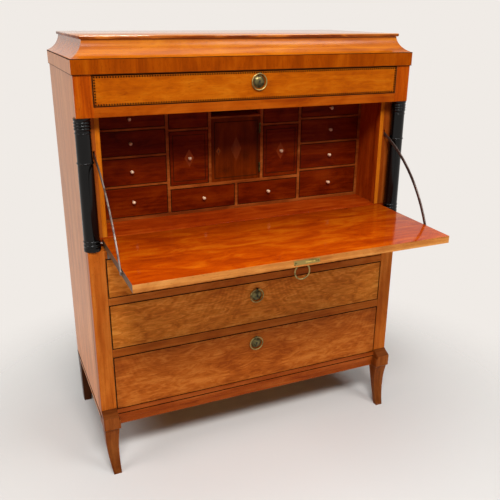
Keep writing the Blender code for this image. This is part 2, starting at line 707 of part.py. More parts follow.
def stays():
    """Curved iron arms: an eye on the fall's pin, and a round head behind the post as the stop."""
    centre, start, finish = stay_curve()
    past = (POST_THICK + SEAT + STAY_HEAD_RADIUS) / sin(finish)
    last = finish - past / STAY_RADIUS
    half = STAY_WIDTH / 2
    first_edge = start - sqrt(STAY_EYE_RADIUS ** 2 - half ** 2) / STAY_RADIUS
    last_edge = last + sqrt(STAY_HEAD_RADIUS ** 2 - half ** 2) / STAY_RADIUS
    pin_y, pin_z = stay_pin()
    pin = Vector((-STAY_REACH, 0))
    outer, inner = [], []
    for i in range(STAY_STEPS + 1):
        angle = first_edge + (last_edge - first_edge) * i / STAY_STEPS
        ray = Vector((cos(angle), sin(angle)))
        outer.append(centre + ray * (STAY_RADIUS + half) - pin)
        inner.append(centre + ray * (STAY_RADIUS - half) - pin)
    tip = centre + Vector((cos(last), sin(last))) * STAY_RADIUS - pin
    head = round_end(tip, outer[-1], inner[-1], STAY_HEAD_RADIUS)
    eye = round_end(Vector((0, 0)), inner[0], outer[0], STAY_EYE_RADIUS)
    outline = [(p.x, p.y) for p in outer + head + inner[::-1] + eye]
    for word, side in SIDES:
        span = (side * STAY_INNER, side * STAY_OUTER)
        middle = (sum(span) / 2, pin_y, pin_z)
        arm = side_plate("stay_" + word, outline, STAY_THICK, iron("stay_" + word), middle)
        pin_end = side * (FALL_HALF - STAY_PIN_LENGTH)
        fuse(arm, rod("tool_stay_pin_" + word, (pin_end, span[1] - side * BITE), pin_y, pin_z,
                      STAY_PIN_RADIUS, ROUND_SIDES, iron("tool")))


def long_drawers():
    half = STILE_INNER - FRONT_GAP
    rows = (
        ("lower", LOWER_DRAWER_Z, LOWER_DRAWER_H, PULL_FROM_EDGE),
        ("middle", MIDDLE_DRAWER_Z, MIDDLE_DRAWER_H, PULL_FROM_EDGE),
        ("upper", UPPER_DRAWER_Z, UPPER_DRAWER_H, PULL_FROM_EDGE),
        ("frieze", FRIEZE_DRAWER_Z, FRIEZE_DRAWER_H, FRIEZE_PULL_FROM_EDGE),
    )
    for word, z, height, pull in rows:
        bottom = z + SEAT
        top = z + height - FRONT_GAP
        back = BACK_Y - LONG_BACK_ROOM
        drawer = block("drawer_" + word, (-half, half), (0, back), (bottom, top),
                       birch("drawer_" + word), (0, 0, bottom))
        cut(drawer, spare("drawer_hollow_" + word, (LONG_WALL - half, half - LONG_WALL),
                          (LONG_FRONT_THICK, back - LONG_WALL),
                          (bottom + LONG_BOTTOM, top + OVERRUN)))
        ring_pull(word, (0, 0, z + height - pull))


def ring_pull(word, centre, under=False):
    """A domed plate with its eye and ring on an upright face, or under the open fall."""
    plate = turned("pull_plate_" + word, shares_of(PLATE_PROFILE_SHARES, PLATE_RADIUS, PLATE_DOME),
                   PLATE_SIDES, brass("plate_" + word), (0, 0, 0))
    lift = EYE_LIFT - SEAT
    eye = rod("tool_ring_eye_" + word, (-EYE_LENGTH / 2, EYE_LENGTH / 2), 0, 0, EYE_RADIUS,
              ROUND_SIDES, brass("tool"))
    bore = rod("tool_ring_bore_" + word, (-EYE_LENGTH, EYE_LENGTH), 0, 0, EYE_BORE, ROUND_SIDES,
               brass("tool"))
    neck = spare("neck_" + word, (-EYE_NECK_WIDTH / 2, EYE_NECK_WIDTH / 2),
                 (0, PLATE_RADIUS - EYE_NECK_OVERLAP), (0, PLATE_RADIUS))
    neck.data = box_mesh("neck", (-EYE_NECK_WIDTH / 2, EYE_NECK_WIDTH / 2),
                         (PLATE_RADIUS - EYE_NECK_OVERLAP, RING_RADIUS - EYE_BORE - BITE),
                         (BITE, lift), (0, 0, 0))
    fuse(plate, neck, eye)
    cut(plate, bore)
    torus = ring_mesh("pull_ring_" + word)
    ring = place("pull_ring_" + word, torus, brass("ring_" + word), (0, 0, 0))
    if under:
        turn = Matrix.Rotation(pi, 4, "X")
        face = Vector((centre[0], FRONT + centre[1], centre[2] - SEAT))
    else:
        turn = Matrix.Rotation(pi / 2, 4, "X")
        face = Vector((centre[0], FRONT + centre[1] - SEAT, centre[2]))
    stand = Matrix.Translation(face) @ turn
    plate.matrix_world = stand
    neck.matrix_world = stand
    at_eye = stand @ Matrix.Translation((0, RING_RADIUS, lift))
    eye.matrix_world = at_eye
    bore.matrix_world = at_eye
    ring.location = at_eye.translation


def ring_mesh(name):
    """A wire ring hanging in the XZ plane, with its top on the origin."""
    bm = bmesh.new()
    rings = []
    for i in range(RING_SEGMENTS):
        around = 2 * pi * i / RING_SEGMENTS
        rings.append([])
        for j in range(RING_SIDES):
            wire = 2 * pi * (j + 1 / 2) / RING_SIDES
            reach = RING_RADIUS + RING_WIRE * cos(wire)
            rings[-1].append(bm.verts.new((reach * sin(around), RING_WIRE * sin(wire),
                                           reach * cos(around) - RING_RADIUS)))
    for i, near in enumerate(rings):
        far = rings[(i + 1) % RING_SEGMENTS]
        for j in range(RING_SIDES):
            k = (j + 1) % RING_SIDES
            bm.faces.new((near[j], near[k], far[k], far[j]))
    bmesh.ops.recalc_face_normals(bm, faces=bm.faces)
    mesh = bpy.data.meshes.new(name)
    bm.to_mesh(mesh)
    bm.free()
    mesh.shade_smooth()
    return mesh


def nest_layout():
    """The hollows of the nest: name, x range, height range and whether a knob shows."""
    floor = NEST_Z + NEST_FLOOR_THICK
    ceiling = NEST_TOP_Z - NEST_TOP_THICK
    low_top = floor + LOW_DRAWER_H
    shelf = low_top + NEST_SHELF
    tall_top = shelf + TALL_DRAWER_H
    wall = NEST_DIVIDER / 2
    hollows = []
    for word, side in SIDES:
        bank = mirrored(side, BANK_INNER_X + wall, POST_INNER - BANK_CLEAR)
        top = ceiling
        for number, height in enumerate((BANK_DRAWER_1_H, BANK_DRAWER_2_H, BANK_DRAWER_3_H), 1):
            hollows.append(("bank_%s_%d" % (word, number), bank, (top - height, top), True))
            top -= height + NEST_RAIL
        hollows.append(("bank_%s_4" % word, bank, (floor, top), True))
        tall = mirrored(side, CUPBOARD_X + wall, BANK_INNER_X - wall)
        hollows.append(("tall_" + word, tall, (shelf, tall_top), True))
        hollows.append(("small_" + word, tall, (tall_top + NEST_RAIL, ceiling), False))
        low = mirrored(side, wall, BANK_INNER_X - wall)
        hollows.append(("low_" + word, low, (floor, low_top), True))
    cupboard = (wall - CUPBOARD_X, CUPBOARD_X - wall)
    door_top = shelf + CUPBOARD_H
    hollows.append(("cupboard", cupboard, (shelf, door_top), False))
    hollows.append(("recess", cupboard, (door_top + NEST_RAIL, ceiling), False))
    return hollows


def nest():
    carcass = block("nest_carcass", (-NEST_HALF, NEST_HALF), (NEST_SETBACK, NEST_BACK_Y),
                    (NEST_Z, NEST_TOP_Z), mahogany("nest"))
    back = NEST_BACK_Y - NEST_BACK_THICK
    for word, x, z, knob in nest_layout():
        cut(carcass, spare("hollow_" + word, x, (NEST_SETBACK - OVERRUN, back), z))
        if word == "cupboard":
            cupboard_door(x, z)
        elif word != "recess":
            nest_drawer(word, x, z, knob)


def nest_drawer(word, x, z, knob):
    x = (x[0] + SMALL_GAP, x[1] - SMALL_GAP)
    z = (z[0] + SEAT, z[1] - SMALL_GAP)
    back = NEST_BACK_Y - NEST_BACK_THICK - SMALL_BACK_ROOM
    centre = (sum(x) / 2, NEST_SETBACK, sum(z) / 2)
    drawer = block("nest_drawer_" + word, x, (NEST_SETBACK, back), z, mahogany("drawer_" + word),
                   centre)
    cut(drawer, spare("drawer_hollow_" + word, (x[0] + SMALL_WALL, x[1] - SMALL_WALL),
                      (NEST_SETBACK + SMALL_FRONT_THICK, back - SMALL_WALL),
                      (z[0] + SMALL_BOTTOM, z[1] + OVERRUN)))
    if knob:
        profile = shares_of(KNOB_PROFILE_SHARES, KNOB_RADIUS, KNOB_LENGTH)
        profile[-1] = (profile[-1][0], -SMALL_FRONT_THICK / 2)
        shape = turned("tool_knob_" + word, profile, KNOB_SIDES, material("bone", (0.7, 0.5, 0.35), 0.3),
                       centre)
        shape.rotation_euler = (pi / 2, 0, 0)
        fuse(drawer, shape)


def cupboard_door(x, z):
    """The cupboard's door, hung on its right edge by two knuckles proud of its face."""
    x = (x[0] + SMALL_GAP, x[1] - SMALL_GAP)
    z = (z[0] + SMALL_GAP, z[1] - SMALL_GAP)
    pivot = (x[1] - DOOR_KNUCKLE_RADIUS, NEST_SETBACK - DOOR_KNUCKLE_RADIUS + BITE, z[0])
    door = block("cupboard_door", x, (NEST_SETBACK, NEST_SETBACK + DOOR_THICK), z,
                 mahogany("door"), pivot)
    for word, low in (("low", z[0] + DOOR_KNUCKLE_RISE),
                      ("high", z[1] - DOOR_KNUCKLE_RISE - DOOR_KNUCKLE_LENGTH)):
        profile = [(DOOR_KNUCKLE_RADIUS, DOOR_KNUCKLE_LENGTH), (DOOR_KNUCKLE_RADIUS, 0)]
        fuse(door, turned("tool_knuckle_" + word, profile, ROUND_SIDES, brass("tool"),
                          (pivot[0], pivot[1], low)))


case_boards()
compartment()
frieze()
cornice()
base()
columns()
fall()
stays()
long_drawers()
ring_pull("fall", (0, HINGE_Y - FALL_LENGTH + PULL_FROM_EDGE, HINGE_Z - FALL_THICK / 2), under=True)
nest()

for piece in sorted(parts.objects, key=lambda one: one.name):
    at = piece.location
    print("PIVOT %-24s %.5f %.5f %.5f" % (piece.name, at.x, at.y, at.z))
print("FRONT plane at y = %.5f, hinge at %.5f %.5f" % (FRONT, FRONT + HINGE_Y, HINGE_Z))
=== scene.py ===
# %% [markdown]
# # The looks of a fall-front secretaire
#
# The cabinet is a birch writing desk of the early nineteenth century: a veneered case with long
# drawers below, a hinged writing board held open by iron stays, a nest of little dark drawers
# behind it, and a hollow-moulded cornice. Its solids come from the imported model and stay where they
# are. This lesson gives each board its edges, its veneer and its polish, and adds the trim that is
# too fine for a solid.

# %% Load the frame
import json
from math import atan2, cos, pi, radians, sin

import bmesh
import bpy
from mathutils import Matrix, Vector


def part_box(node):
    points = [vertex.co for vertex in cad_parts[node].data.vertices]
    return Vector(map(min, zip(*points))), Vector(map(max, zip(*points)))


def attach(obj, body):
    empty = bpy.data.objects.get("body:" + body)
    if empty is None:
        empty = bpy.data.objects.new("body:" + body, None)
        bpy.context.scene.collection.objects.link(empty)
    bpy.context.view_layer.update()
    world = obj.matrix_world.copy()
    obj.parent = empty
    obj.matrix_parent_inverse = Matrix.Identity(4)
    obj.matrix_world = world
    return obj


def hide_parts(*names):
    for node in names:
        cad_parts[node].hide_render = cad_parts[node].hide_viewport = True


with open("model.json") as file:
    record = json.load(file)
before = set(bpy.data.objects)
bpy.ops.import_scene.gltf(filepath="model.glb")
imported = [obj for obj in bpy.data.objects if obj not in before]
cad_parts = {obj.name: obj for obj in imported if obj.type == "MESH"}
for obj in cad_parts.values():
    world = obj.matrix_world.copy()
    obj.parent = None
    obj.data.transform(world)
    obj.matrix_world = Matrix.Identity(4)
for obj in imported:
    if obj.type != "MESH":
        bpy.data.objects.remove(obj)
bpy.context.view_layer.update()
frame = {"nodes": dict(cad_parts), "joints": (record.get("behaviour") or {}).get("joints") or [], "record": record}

BODIES = frame["record"]["behaviour"]["bodies"]
BODY_OF = {node: body for body, nodes in BODIES.items() for node in nodes}
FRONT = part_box("lower_stile_left")[0][1]        # the plane of the drawer fronts
NEST_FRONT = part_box("nest_carcass")[0][1]

# %% [markdown]
# ## The camera
#
# The cabinet was seen from its left, from a little above its top and about two metres away. The place
# and the lens were solved from the corners of the case and of the fall, so the camera is written as
# those numbers and not aimed by eye. The lens is in millimetres on a 36 mm film, and the three turns,
# in radians, are how far it looks to the right, how far down, and its slight lean.

# %% Place the camera
CAMERA_AT = (-0.7394, -1.7075, 1.3198)
LOOKS_RIGHT = 0.4108
LOOKS_DOWN = 0.3565
LEAN = 0.0072
LENS = 45.86

camera = bpy.data.objects.new("camera", bpy.data.cameras.new("camera"))
bpy.context.scene.collection.objects.link(camera)
camera.matrix_world = (Matrix.Translation(CAMERA_AT) @ Matrix.Rotation(-LOOKS_RIGHT, 4, "Z")
                       @ Matrix.Rotation(pi / 2 - LOOKS_DOWN, 4, "X") @ Matrix.Rotation(LEAN, 4, "Z"))
camera.data.sensor_width = 36
camera.data.lens = LENS
camera.data.clip_start = 0.05
bpy.context.scene.camera = camera
print("camera lens %.1f mm" % camera.data.lens)

# %% [markdown]
# ## Helpers for every material
#
# Colours are easiest to compare with a picture as the hex codes that paint programs show. Blender
# mixes light in linear numbers, so one function turns the code into those. The next adds a node to a
# tree, sets what it is given and links what it is handed, so that a material reads as a list of what
# it is made of. The last starts a material.

# %% Colour and node helpers
def linear(code):
    """A hex colour as linear red, green, blue and alpha."""
    parts = [int(code[i:i + 2], 16) / 255 for i in (1, 3, 5)]
    return (*[c / 12.92 if c <= 0.04045 else ((c + 0.055) / 1.055) ** 2.4 for c in parts], 1.0)


def add(tree, kind, inputs=None, stops=(), **settings):
    """Add a node. An input is a value, a socket, or a node that gives its first output; stops are
    places and colours of a ramp."""
    node = tree.nodes.new(kind)
    for key, value in settings.items():
        setattr(node, key, value)
    for key, value in (inputs or {}).items():
        if isinstance(value, bpy.types.Node):
            value = value.outputs[0]
        if isinstance(value, bpy.types.NodeSocket):
            tree.links.new(value, node.inputs[key])
        else:
            node.inputs[key].default_value = value
    for i, (place, colour) in enumerate(stops):
        ramp = node.color_ramp.elements
        stop = ramp[i] if i < len(ramp) else ramp.new(place)
        stop.position = place
        stop.color = linear(colour)
    return node


def blank(name):
    """A new material, its empty tree, and its object coordinates in metres."""
    made = bpy.data.materials.new(name)
    made.use_nodes = True
    tree = made.node_tree
    tree.nodes.clear()
    return made, tree, add(tree, "ShaderNodeTexCoord").outputs["Object"]

# %% [markdown]
# ## Floor, backdrop and light
#
# The photo has a pale, slightly warm sweep of paper behind the piece. A wall would block the views
# from behind, so the floor is a large sheet that fades out with distance, and the world behind it has
# the paper's colour. Rays from the camera and mirror-like reflections see that paper at full
# strength, and everything else gets a dimmer, even light. Light that has bounced off wood meets the
# whole floor, so that none leaks up from below. Four large soft lamps give the shape.

# %% Floor and world
PAPER = "#F0EBE6"
EVEN_LIGHT = 0.05
FLOOR_REACH = 9.0
FADE_FROM = 0.50        # metres from the middle of the floor
FADE_TO = 1.30
CORNERS = ((-1, -1), (1, -1), (1, 1), (-1, 1))
floor_mesh = bpy.data.meshes.new("floor")
floor_mesh.from_pydata([(x * FLOOR_REACH, y * FLOOR_REACH, 0) for x, y in CORNERS], [], [(0, 1, 2, 3)])
floor = bpy.data.objects.new("floor", floor_mesh)
bpy.context.scene.collection.objects.link(floor)
paper, tree, place = blank("studio_paper")
away = add(tree, "ShaderNodeVectorMath", {0: place}, operation="LENGTH")
fade = add(tree, "ShaderNodeMapRange",
           {"Value": away.outputs["Value"], "From Min": FADE_FROM, "From Max": FADE_TO},
           interpolation_type="SMOOTHSTEP")
sheet = add(tree, "ShaderNodeBsdfDiffuse", {"Color": linear("#E1DFDC")})
clear = add(tree, "ShaderNodeBsdfTransparent")
ray = add(tree, "ShaderNodeLightPath")
direct = add(tree, "ShaderNodeMath", {0: ray.outputs["Is Diffuse Ray"], 1: 0.5}, operation="LESS_THAN")
share = add(tree, "ShaderNodeMath", {0: fade, 1: direct}, operation="MULTIPLY")
both = add(tree, "ShaderNodeMixShader", {0: share, 1: sheet, 2: clear})
add(tree, "ShaderNodeOutputMaterial", {"Surface": both})
floor_mesh.materials.append(paper)

world = bpy.data.worlds.new("studio")
bpy.context.scene.world = world
world.use_nodes = True
sky = world.node_tree
sky.nodes.clear()
ray = add(sky, "ShaderNodeLightPath")
seen = add(sky, "ShaderNodeMath", {0: ray.outputs["Is Camera Ray"], 1: ray.outputs["Is Glossy Ray"]},
           operation="MAXIMUM")
seen = add(sky, "ShaderNodeMath", {0: seen, 1: ray.outputs["Is Transmission Ray"]}, operation="MAXIMUM")
strength = add(sky, "ShaderNodeMapRange", {"Value": seen, "To Min": EVEN_LIGHT, "To Max": 1.0})
air = add(sky, "ShaderNodeBackground", {"Color": linear(PAPER), "Strength": strength})
add(sky, "ShaderNodeOutputWorld", {"Surface": air})
print("floor reaches", FLOOR_REACH, "m")

# %% Soft lamps
LAMPS = (
    # name, place, what it points at, width, height, watts
    ("key", (-0.7, -2.5, 3.5), (0.0, -0.4, 0.5), 1.4, 0.8, 118),
    ("fill", (1.6, -2.3, 3.3), (0.0, -0.4, 0.5), 1.4, 1.0, 40),
    ("top", (0.1, -0.2, 3.6), (0.0, 0.0, 0.6), 2.4, 1.8, 26),
    ("side", (-2.9, -0.3, 2.7), (-0.5, 0.2, 0.5), 1.6, 1.4, 34),
)
for name, at, aim, width, height, watts in LAMPS:
    lamp = bpy.data.objects.new("lamp_" + name, bpy.data.lights.new("lamp_" + name, "AREA"))
    lamp.data.shape = "RECTANGLE"
    lamp.data.size = width
    lamp.data.size_y = height
    lamp.data.energy = watts
    lamp.location = at
    lamp.rotation_euler = (Vector(aim) - Vector(at)).to_track_quat("-Z", "Y").to_euler()
    bpy.context.scene.collection.objects.link(lamp)
bpy.context.scene.view_settings.view_transform = "Standard"
print("lamps:", ", ".join(row[0] for row in LAMPS))

# %% [markdown]
# ## Veneer
#
# Satin birch is a pale wood that old shellac turns orange. What the eye reads in it is a few
# patterns of quite different size laid over each other: growth bands that run the length of the
# board, short flames, a faint ripple of curl, broad cloudy patches, hair-fine fibres, and tiny dark
# flecks. A texture could be painted, but a pattern made from the piece's own coordinates has no
# seams, keeps its size in millimetres on each board and turns with the grain. So one function lays
# those patterns along any axis, and each board hands it its own colours, its own grain and its own
# place in the log.
#
# The old polish hardly reflects where it is seen face on, so the fronts keep a deep colour, but at
# a slant it turns pale, as the side does here. A low specular level gives both at once.

# %% Patterns laid along the grain
TURN_OF_GRAIN = {"X": (0, 0, 0), "Y": (0, 0, pi / 2), "Z": (0, pi / 2, 0)}
# each pattern: millimetres along the grain and across it, detail, and how much it bends
GROWTH = (420, 13, 3, 0.6)
FLAME = (66, 19, 3, 2.2)
CLOUD = (150, 60, 3, 1.2)
CURL_PATCH = (170, 120, 1)
HAIR = (70, 1.6, 2)     # wider than real fibres, which would be too fine to show
FLECK = (9, 1.3, 0)


def pattern(tree, place, along, across, detail=2.0, distortion=0.0):
    """Noise stretched along the grain; both sizes are in millimetres."""
    size = add(tree, "ShaderNodeMapping",
               {"Vector": place, "Scale": (1000 / along, 1000 / across, 1000 / across)})
    grain = add(tree, "ShaderNodeTexNoise", {"Vector": size, "Scale": 1.0, "Detail": detail,
                                             "Roughness": 0.55, "Distortion": distortion})
    return grain.outputs["Fac"]


print("patterns from", FLECK[1], "to", GROWTH[0], "mm")

# %% Curl, rims and tone ramps
RIPPLE_PER_M = 22.4     # the scale that sets a wave texture's rings 14 mm apart
RIM = 0.030
RIM_TONE = 0.88


def curled(tree, start, turned, curl, mixed):
    """Add fans of curl, like the barbs of a feather, that come and go over the board."""
    share, x, z = curl
    hub = add(tree, "ShaderNodeMapping", {"Vector": start, "Location": (-x, 0, -z)})
    fan = add(tree, "ShaderNodeTexWave", {"Vector": hub, "Scale": RIPPLE_PER_M, "Distortion": 16.0,
                                          "Detail": 2.0, "Detail Scale": 0.35},
              wave_type="RINGS", rings_direction="Y")
    patch = add(tree, "ShaderNodeMapRange", {"Value": pattern(tree, turned, *CURL_PATCH),
                                             "From Min": 0.46, "From Max": 0.64, "To Max": share})
    ripple = add(tree, "ShaderNodeMath", {0: fan.outputs["Fac"], 1: 0.5}, operation="SUBTRACT")
    return add(tree, "ShaderNodeMath", {0: ripple, 1: patch, 2: mixed}, operation="MULTIPLY_ADD")


def rimmed(tree, place, node, tone):
    """Darken a board toward its ends and edges, where polish and dust gather."""
    low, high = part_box(node)
    half = [(b - a) / 2 for a, b in zip(low, high)]
    unit = add(tree, "ShaderNodeMapping",
               {"Vector": place, "Scale": [1 / h for h in half],
                "Location": [-(a + b) / 2 / h for a, b, h in zip(low, high, half)]})
    size = add(tree, "ShaderNodeVectorMath", {0: unit}, operation="ABSOLUTE")
    axes = add(tree, "ShaderNodeSeparateXYZ", {0: size})
    for axis, reach in (("X", half[0]), ("Z", half[2])):
        near = add(tree, "ShaderNodeMapRange", {"Value": axes.outputs[axis], "From Min": 1 - RIM / reach,
                                                "From Max": 1.0, "To Min": 1.0, "To Max": RIM_TONE},
                   interpolation_type="SMOOTHSTEP")
        tone = add(tree, "ShaderNodeMath", {0: tone, 1: near}, operation="MULTIPLY")
    return tone


def graded(tree, place, fade, tone):
    """Multiply the tone by a ramp along an axis: painted light and shade on the side and the fall, a darker foot
    on the legs.
    """
    axis, start_at, end_at, from_tone, to_tone = fade
    way = add(tree, "ShaderNodeSeparateXYZ", {0: place}).outputs[axis]
    worn = add(tree, "ShaderNodeMapRange", {"Value": way, "From Min": start_at, "From Max": end_at,
                                            "To Min": from_tone, "To Max": to_tone})
    return add(tree, "ShaderNodeMath", {0: tone, 1: worn}, operation="MULTIPLY")


print("rims darken over %.0f mm" % (RIM * 1000))

# %% The veneer itself
def veneer(name, deep, middle, light, grain="X", shift=(0, 0, 0), growth=0.9, flame=0.0, cloud=0.5,
           fibre=0.07, roughness=0.30, shine=0.05, folded=False, rim=None, fade=None, curl=None):
    """Shellac-polished veneer: layered patterns mix three colours; shine is how much it reflects."""
    made, tree, place = blank(name)
    start = place
    if folded:      # a book-matched pair: the right leaf mirrors the left
        start = add(tree, "ShaderNodeVectorMath", {0: place}, operation="ABSOLUTE")
    turned = add(tree, "ShaderNodeMapping",
                 {"Vector": start, "Rotation": TURN_OF_GRAIN[grain], "Location": shift})
    mixed = 0.5 - 0.5 * (growth + flame + cloud)
    for share, sizes in ((growth, GROWTH), (flame, FLAME), (cloud, CLOUD)):
        if share:
            mixed = add(tree, "ShaderNodeMath", {0: pattern(tree, turned, *sizes), 1: share, 2: mixed},
                        operation="MULTIPLY_ADD")
    if curl:
        mixed = curled(tree, start, turned, curl, mixed)
    colour = add(tree, "ShaderNodeValToRGB", {"Fac": mixed},
                 ((0.30, deep), (0.50, middle), (0.72, light)))
    hair = pattern(tree, turned, *HAIR)
    shade = add(tree, "ShaderNodeMapRange", {"Value": hair, "From Min": 0.3, "From Max": 0.7,
                                             "To Min": 1 - fibre, "To Max": 1 + fibre})
    fleck = add(tree, "ShaderNodeMapRange", {"Value": pattern(tree, turned, *FLECK), "From Min": 0.70,
                                             "From Max": 0.76, "To Min": 1.0, "To Max": 0.72})
    tone = add(tree, "ShaderNodeMath", {0: shade, 1: fleck}, operation="MULTIPLY")
    if rim:
        tone = rimmed(tree, place, rim, tone)
    if fade:
        tone = graded(tree, place, fade, tone)
    colour = add(tree, "ShaderNodeMix", {0: 1.0, 6: colour, 7: tone}, data_type="RGBA",
                 blend_type="MULTIPLY")
    ridge = add(tree, "ShaderNodeBump", {"Height": hair, "Strength": 0.25, "Distance": 0.00012})
    wood = add(tree, "ShaderNodeBsdfPrincipled",
               {"Base Color": colour.outputs[2], "Roughness": roughness, "IOR": 1.5,
                "Specular IOR Level": shine, "Normal": ridge})
    add(tree, "ShaderNodeOutputMaterial", {"Surface": wood})
    return made

# %% [markdown]
# ## The birch finishes
#
# The maker cut the veneers from different logs for different places: calm straight birch for the
# stiles and sides, flamed birch for the drawer fronts, a cross-grained strip for the band. The
# writing board and the floor behind it were polished hardest, so they are deep orange and glossy.
# Each finish gets its own shift along the log, so no two show the same figure.

# %% Birch of the case
# the side is seen at a slant, so its stronger shine turns it pale, and toward its foot it is painted paler still:
# painted light
side_birch = veneer("birch_sides_french_polished", "#B36427", "#CA7836", "#DB904C", grain="Z", growth=0.8,
                    cloud=0.5, roughness=0.32, shine=0.16, fade=("Z", 0.10, 0.80, 1.50, 1.0))
# stiles and rails keep a plain deep orange face on
stile_birch = veneer("birch_stiles_french_polished", "#A24A0B", "#BA5E18", "#CC7428", grain="Z",
                     shift=(0.7, 0, 0), growth=0.8, cloud=0.6)
rail_birch = veneer("birch_rails_french_polished", "#96440C", "#AE5816", "#C26C26", shift=(0, 0.3, 0),
                    growth=0.7, cloud=0.8)
# the apron is a darker birch, and the front legs darken toward the foot
apron_birch = veneer("birch_apron_french_polished", "#7E3109", "#954211", "#A9541E", shift=(0, 0, 1.7),
                     growth=0.7, flame=0.2, cloud=0.7)
leg_birch = veneer("birch_legs_french_polished", "#6A2F0B", "#894416", "#A05924", grain="Z",
                   shift=(0.2, 0.5, 0), growth=0.8, cloud=0.7, fade=("Z", 0.0, 0.16, 0.55, 1.0))
leg_top_birch = veneer("birch_leg_tops_darkened", "#4E240A", "#663210", "#7A4018", shift=(0.6, 0.5, 0),
                       growth=0.8, cloud=0.7)
# painted shade: the back legs are darkened for the shade they stand in
back_leg_painted_shade = veneer("birch_back_legs_painted_shade", "#3A1C0C", "#4A2612", "#5A3018", grain="Z",
                        shift=(0.9, 0.5, 0), growth=0.8, cloud=0.6)
print("veneers of the case and legs:", len(bpy.data.materials) - 1)     # less the studio's paper

# %% Birch of the top and the cornice
# the top and the hollow moulding mirror the pale room
top_birch = veneer("birch_top_french_polished", "#A85A18", "#C07028", "#D2883C", shift=(0.4, 0, 0.2),
                   growth=0.8, cloud=0.5, roughness=0.10, shine=0.4)
# the top's front edge: a darker edge of the wood, with painted shade under the lip
lip_dark_and_painted_shade = veneer("birch_top_edge_dark_and_painted_shade", "#5C2206", "#82380C", "#C06A20", shift=(0.9, 0.2, 0.2),
                   growth=0.2, cloud=1.4, shine=0.05)
cavetto_birch = veneer("birch_cavetto_french_polished", "#944503", "#B25B08", "#C67210",
                       shift=(0.9, 0, 0), growth=0.7, cloud=0.7, roughness=0.20, shine=0.20)
# the band and the frieze frame are a deeper red than the frieze drawer
band_birch = veneer("birch_band_cross_grained", "#7A2E02", "#923D02", "#A54D05", grain="Z",
                    shift=(0, 0, 3.1), growth=0.5, cloud=0.7, shine=0.02)
frieze_birch = veneer("birch_frieze_french_polished", "#853102", "#9D4403", "#B0550B",
                      shift=(2.2, 0, 0), growth=0.6, cloud=0.9)
frieze_end_birch = veneer("birch_frieze_ends_french_polished", "#8B3301", "#A64302", "#B85807", grain="Z",
                          shift=(0.3, 1.2, 0), growth=1.0, cloud=0.5)
print("case veneers:", len([m for m in bpy.data.materials if m.name.startswith("birch")]))

# %% Birch of the drawers and the fall
# flames in a book-matched pair of leaves; the upper two drawers are painted lighter than the lowest, painted light
# against the shadow the open fall casts on them
FLAMED = {"growth": 0.2, "flame": 0.85, "cloud": 0.7, "folded": True}
drawer_birch = {}
for word, deep, middle, light, along, curl in (
        ("lower", "#96440F", "#B35A18", "#C8722A", 0.3, (0.06, 0.20, 0.46)),
        ("middle", "#B25A16", "#D47824", "#EC963C", 1.4, (0.07, 0.36, 0.62)),
        ("upper", "#B25A16", "#D47824", "#EC963C", 2.6, (0.06, 0.28, 0.52))):
    drawer_birch[word] = veneer("birch_" + word + "_drawer_flame", deep, middle, light,
                                shift=(along, 0, 0), rim="drawer_" + word, curl=curl, **FLAMED)
drawer_birch["frieze"] = veneer("birch_frieze_drawer_figured", "#964002", "#AD5303", "#BC660C",
                                shift=(3.5, 0, 0), growth=0.35, flame=0.45, cloud=0.7)
# the writing face is glossy; it is painted darker toward the hinge, painted shade and reflection of the dark nest,
# and paler toward the free edge, painted light
HINGE_LINE, FREE_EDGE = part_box("fall_front")[1][1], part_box("fall_front")[0][1]
fall_birch = veneer("birch_fall_high_gloss", "#983002", "#B44302", "#CA6009", shift=(0.1, 0.6, 0),
                    growth=0.35, flame=0.20, cloud=1.0, fibre=0.04, roughness=0.10, shine=0.08,
                    fade=("Y", HINGE_LINE, FREE_EDGE, 0.62, 1.08))
outer_birch = veneer("birch_fall_outer_flame", "#A04A10", "#BC611A", "#D67C2C", shift=(3.9, 0, 0),
                     **FLAMED)
# its edges lost their polish: the long one is rubbed pale, the ends are grimy
edge_birch = veneer("birch_fall_edge_worn", "#A65E26", "#C87C38", "#DE964E", shift=(0.5, 0, 0.3),
                    growth=0.9, cloud=0.7, roughness=0.42, shine=0.05)
end_birch = veneer("birch_fall_ends_grimy", "#4C3422", "#644832", "#7A5C42", shift=(0, 0.5, 0.3),
                   grain="Y", growth=0.9, cloud=0.7, roughness=0.45, shine=0.08)
floor_birch = veneer("birch_compartment_floor_high_gloss", "#842403", "#9B3405", "#B0480F",
                     shift=(1.9, 0.4, 0), growth=0.6, flame=0.1, cloud=0.8, fibre=0.04, roughness=0.12,
                     shine=0.08)
print("drawer veneers:", ", ".join(sorted(drawer_birch)))

# %% [markdown]
# ## The darker woods
#
# The nest is of mahogany, polished dark red-brown, and its front edges are rubbed paler by hands. The
# posts beside it are reddish birch. What nobody sees, the drawer boxes and the back, is plain pine.
# The columns are pear or beech, stained black and waxed: a satin black that shows only a trace of the
# wood's fibre. All of these use the veneer function with other colours.

# %% Mahogany and the posts
# inside the nest the wood stays lighter than its fronts, which the years darkened
nest_mahogany = veneer("mahogany_nest_polished", "#8A3A12", "#A64C1A", "#BE6026", growth=0.8, cloud=0.7,
                       roughness=0.32)
nest_edge = veneer("mahogany_nest_edges_rubbed", "#6E2C0C", "#8E4214", "#AA5A24", growth=0.6, cloud=0.9,
                   roughness=0.36)
front_mahogany = veneer("mahogany_drawer_fronts_polished", "#4C0E01", "#651A01", "#7A2903",
                        shift=(0.8, 0, 0), growth=0.6, flame=0.3, cloud=0.8, roughness=0.26, shine=0.02)
door_mahogany = veneer("mahogany_door_polished", "#4A1701", "#602001", "#762B03", grain="Z",
                       shift=(0.3, 0, 0), growth=0.35, cloud=0.8, roughness=0.26, shine=0.02)
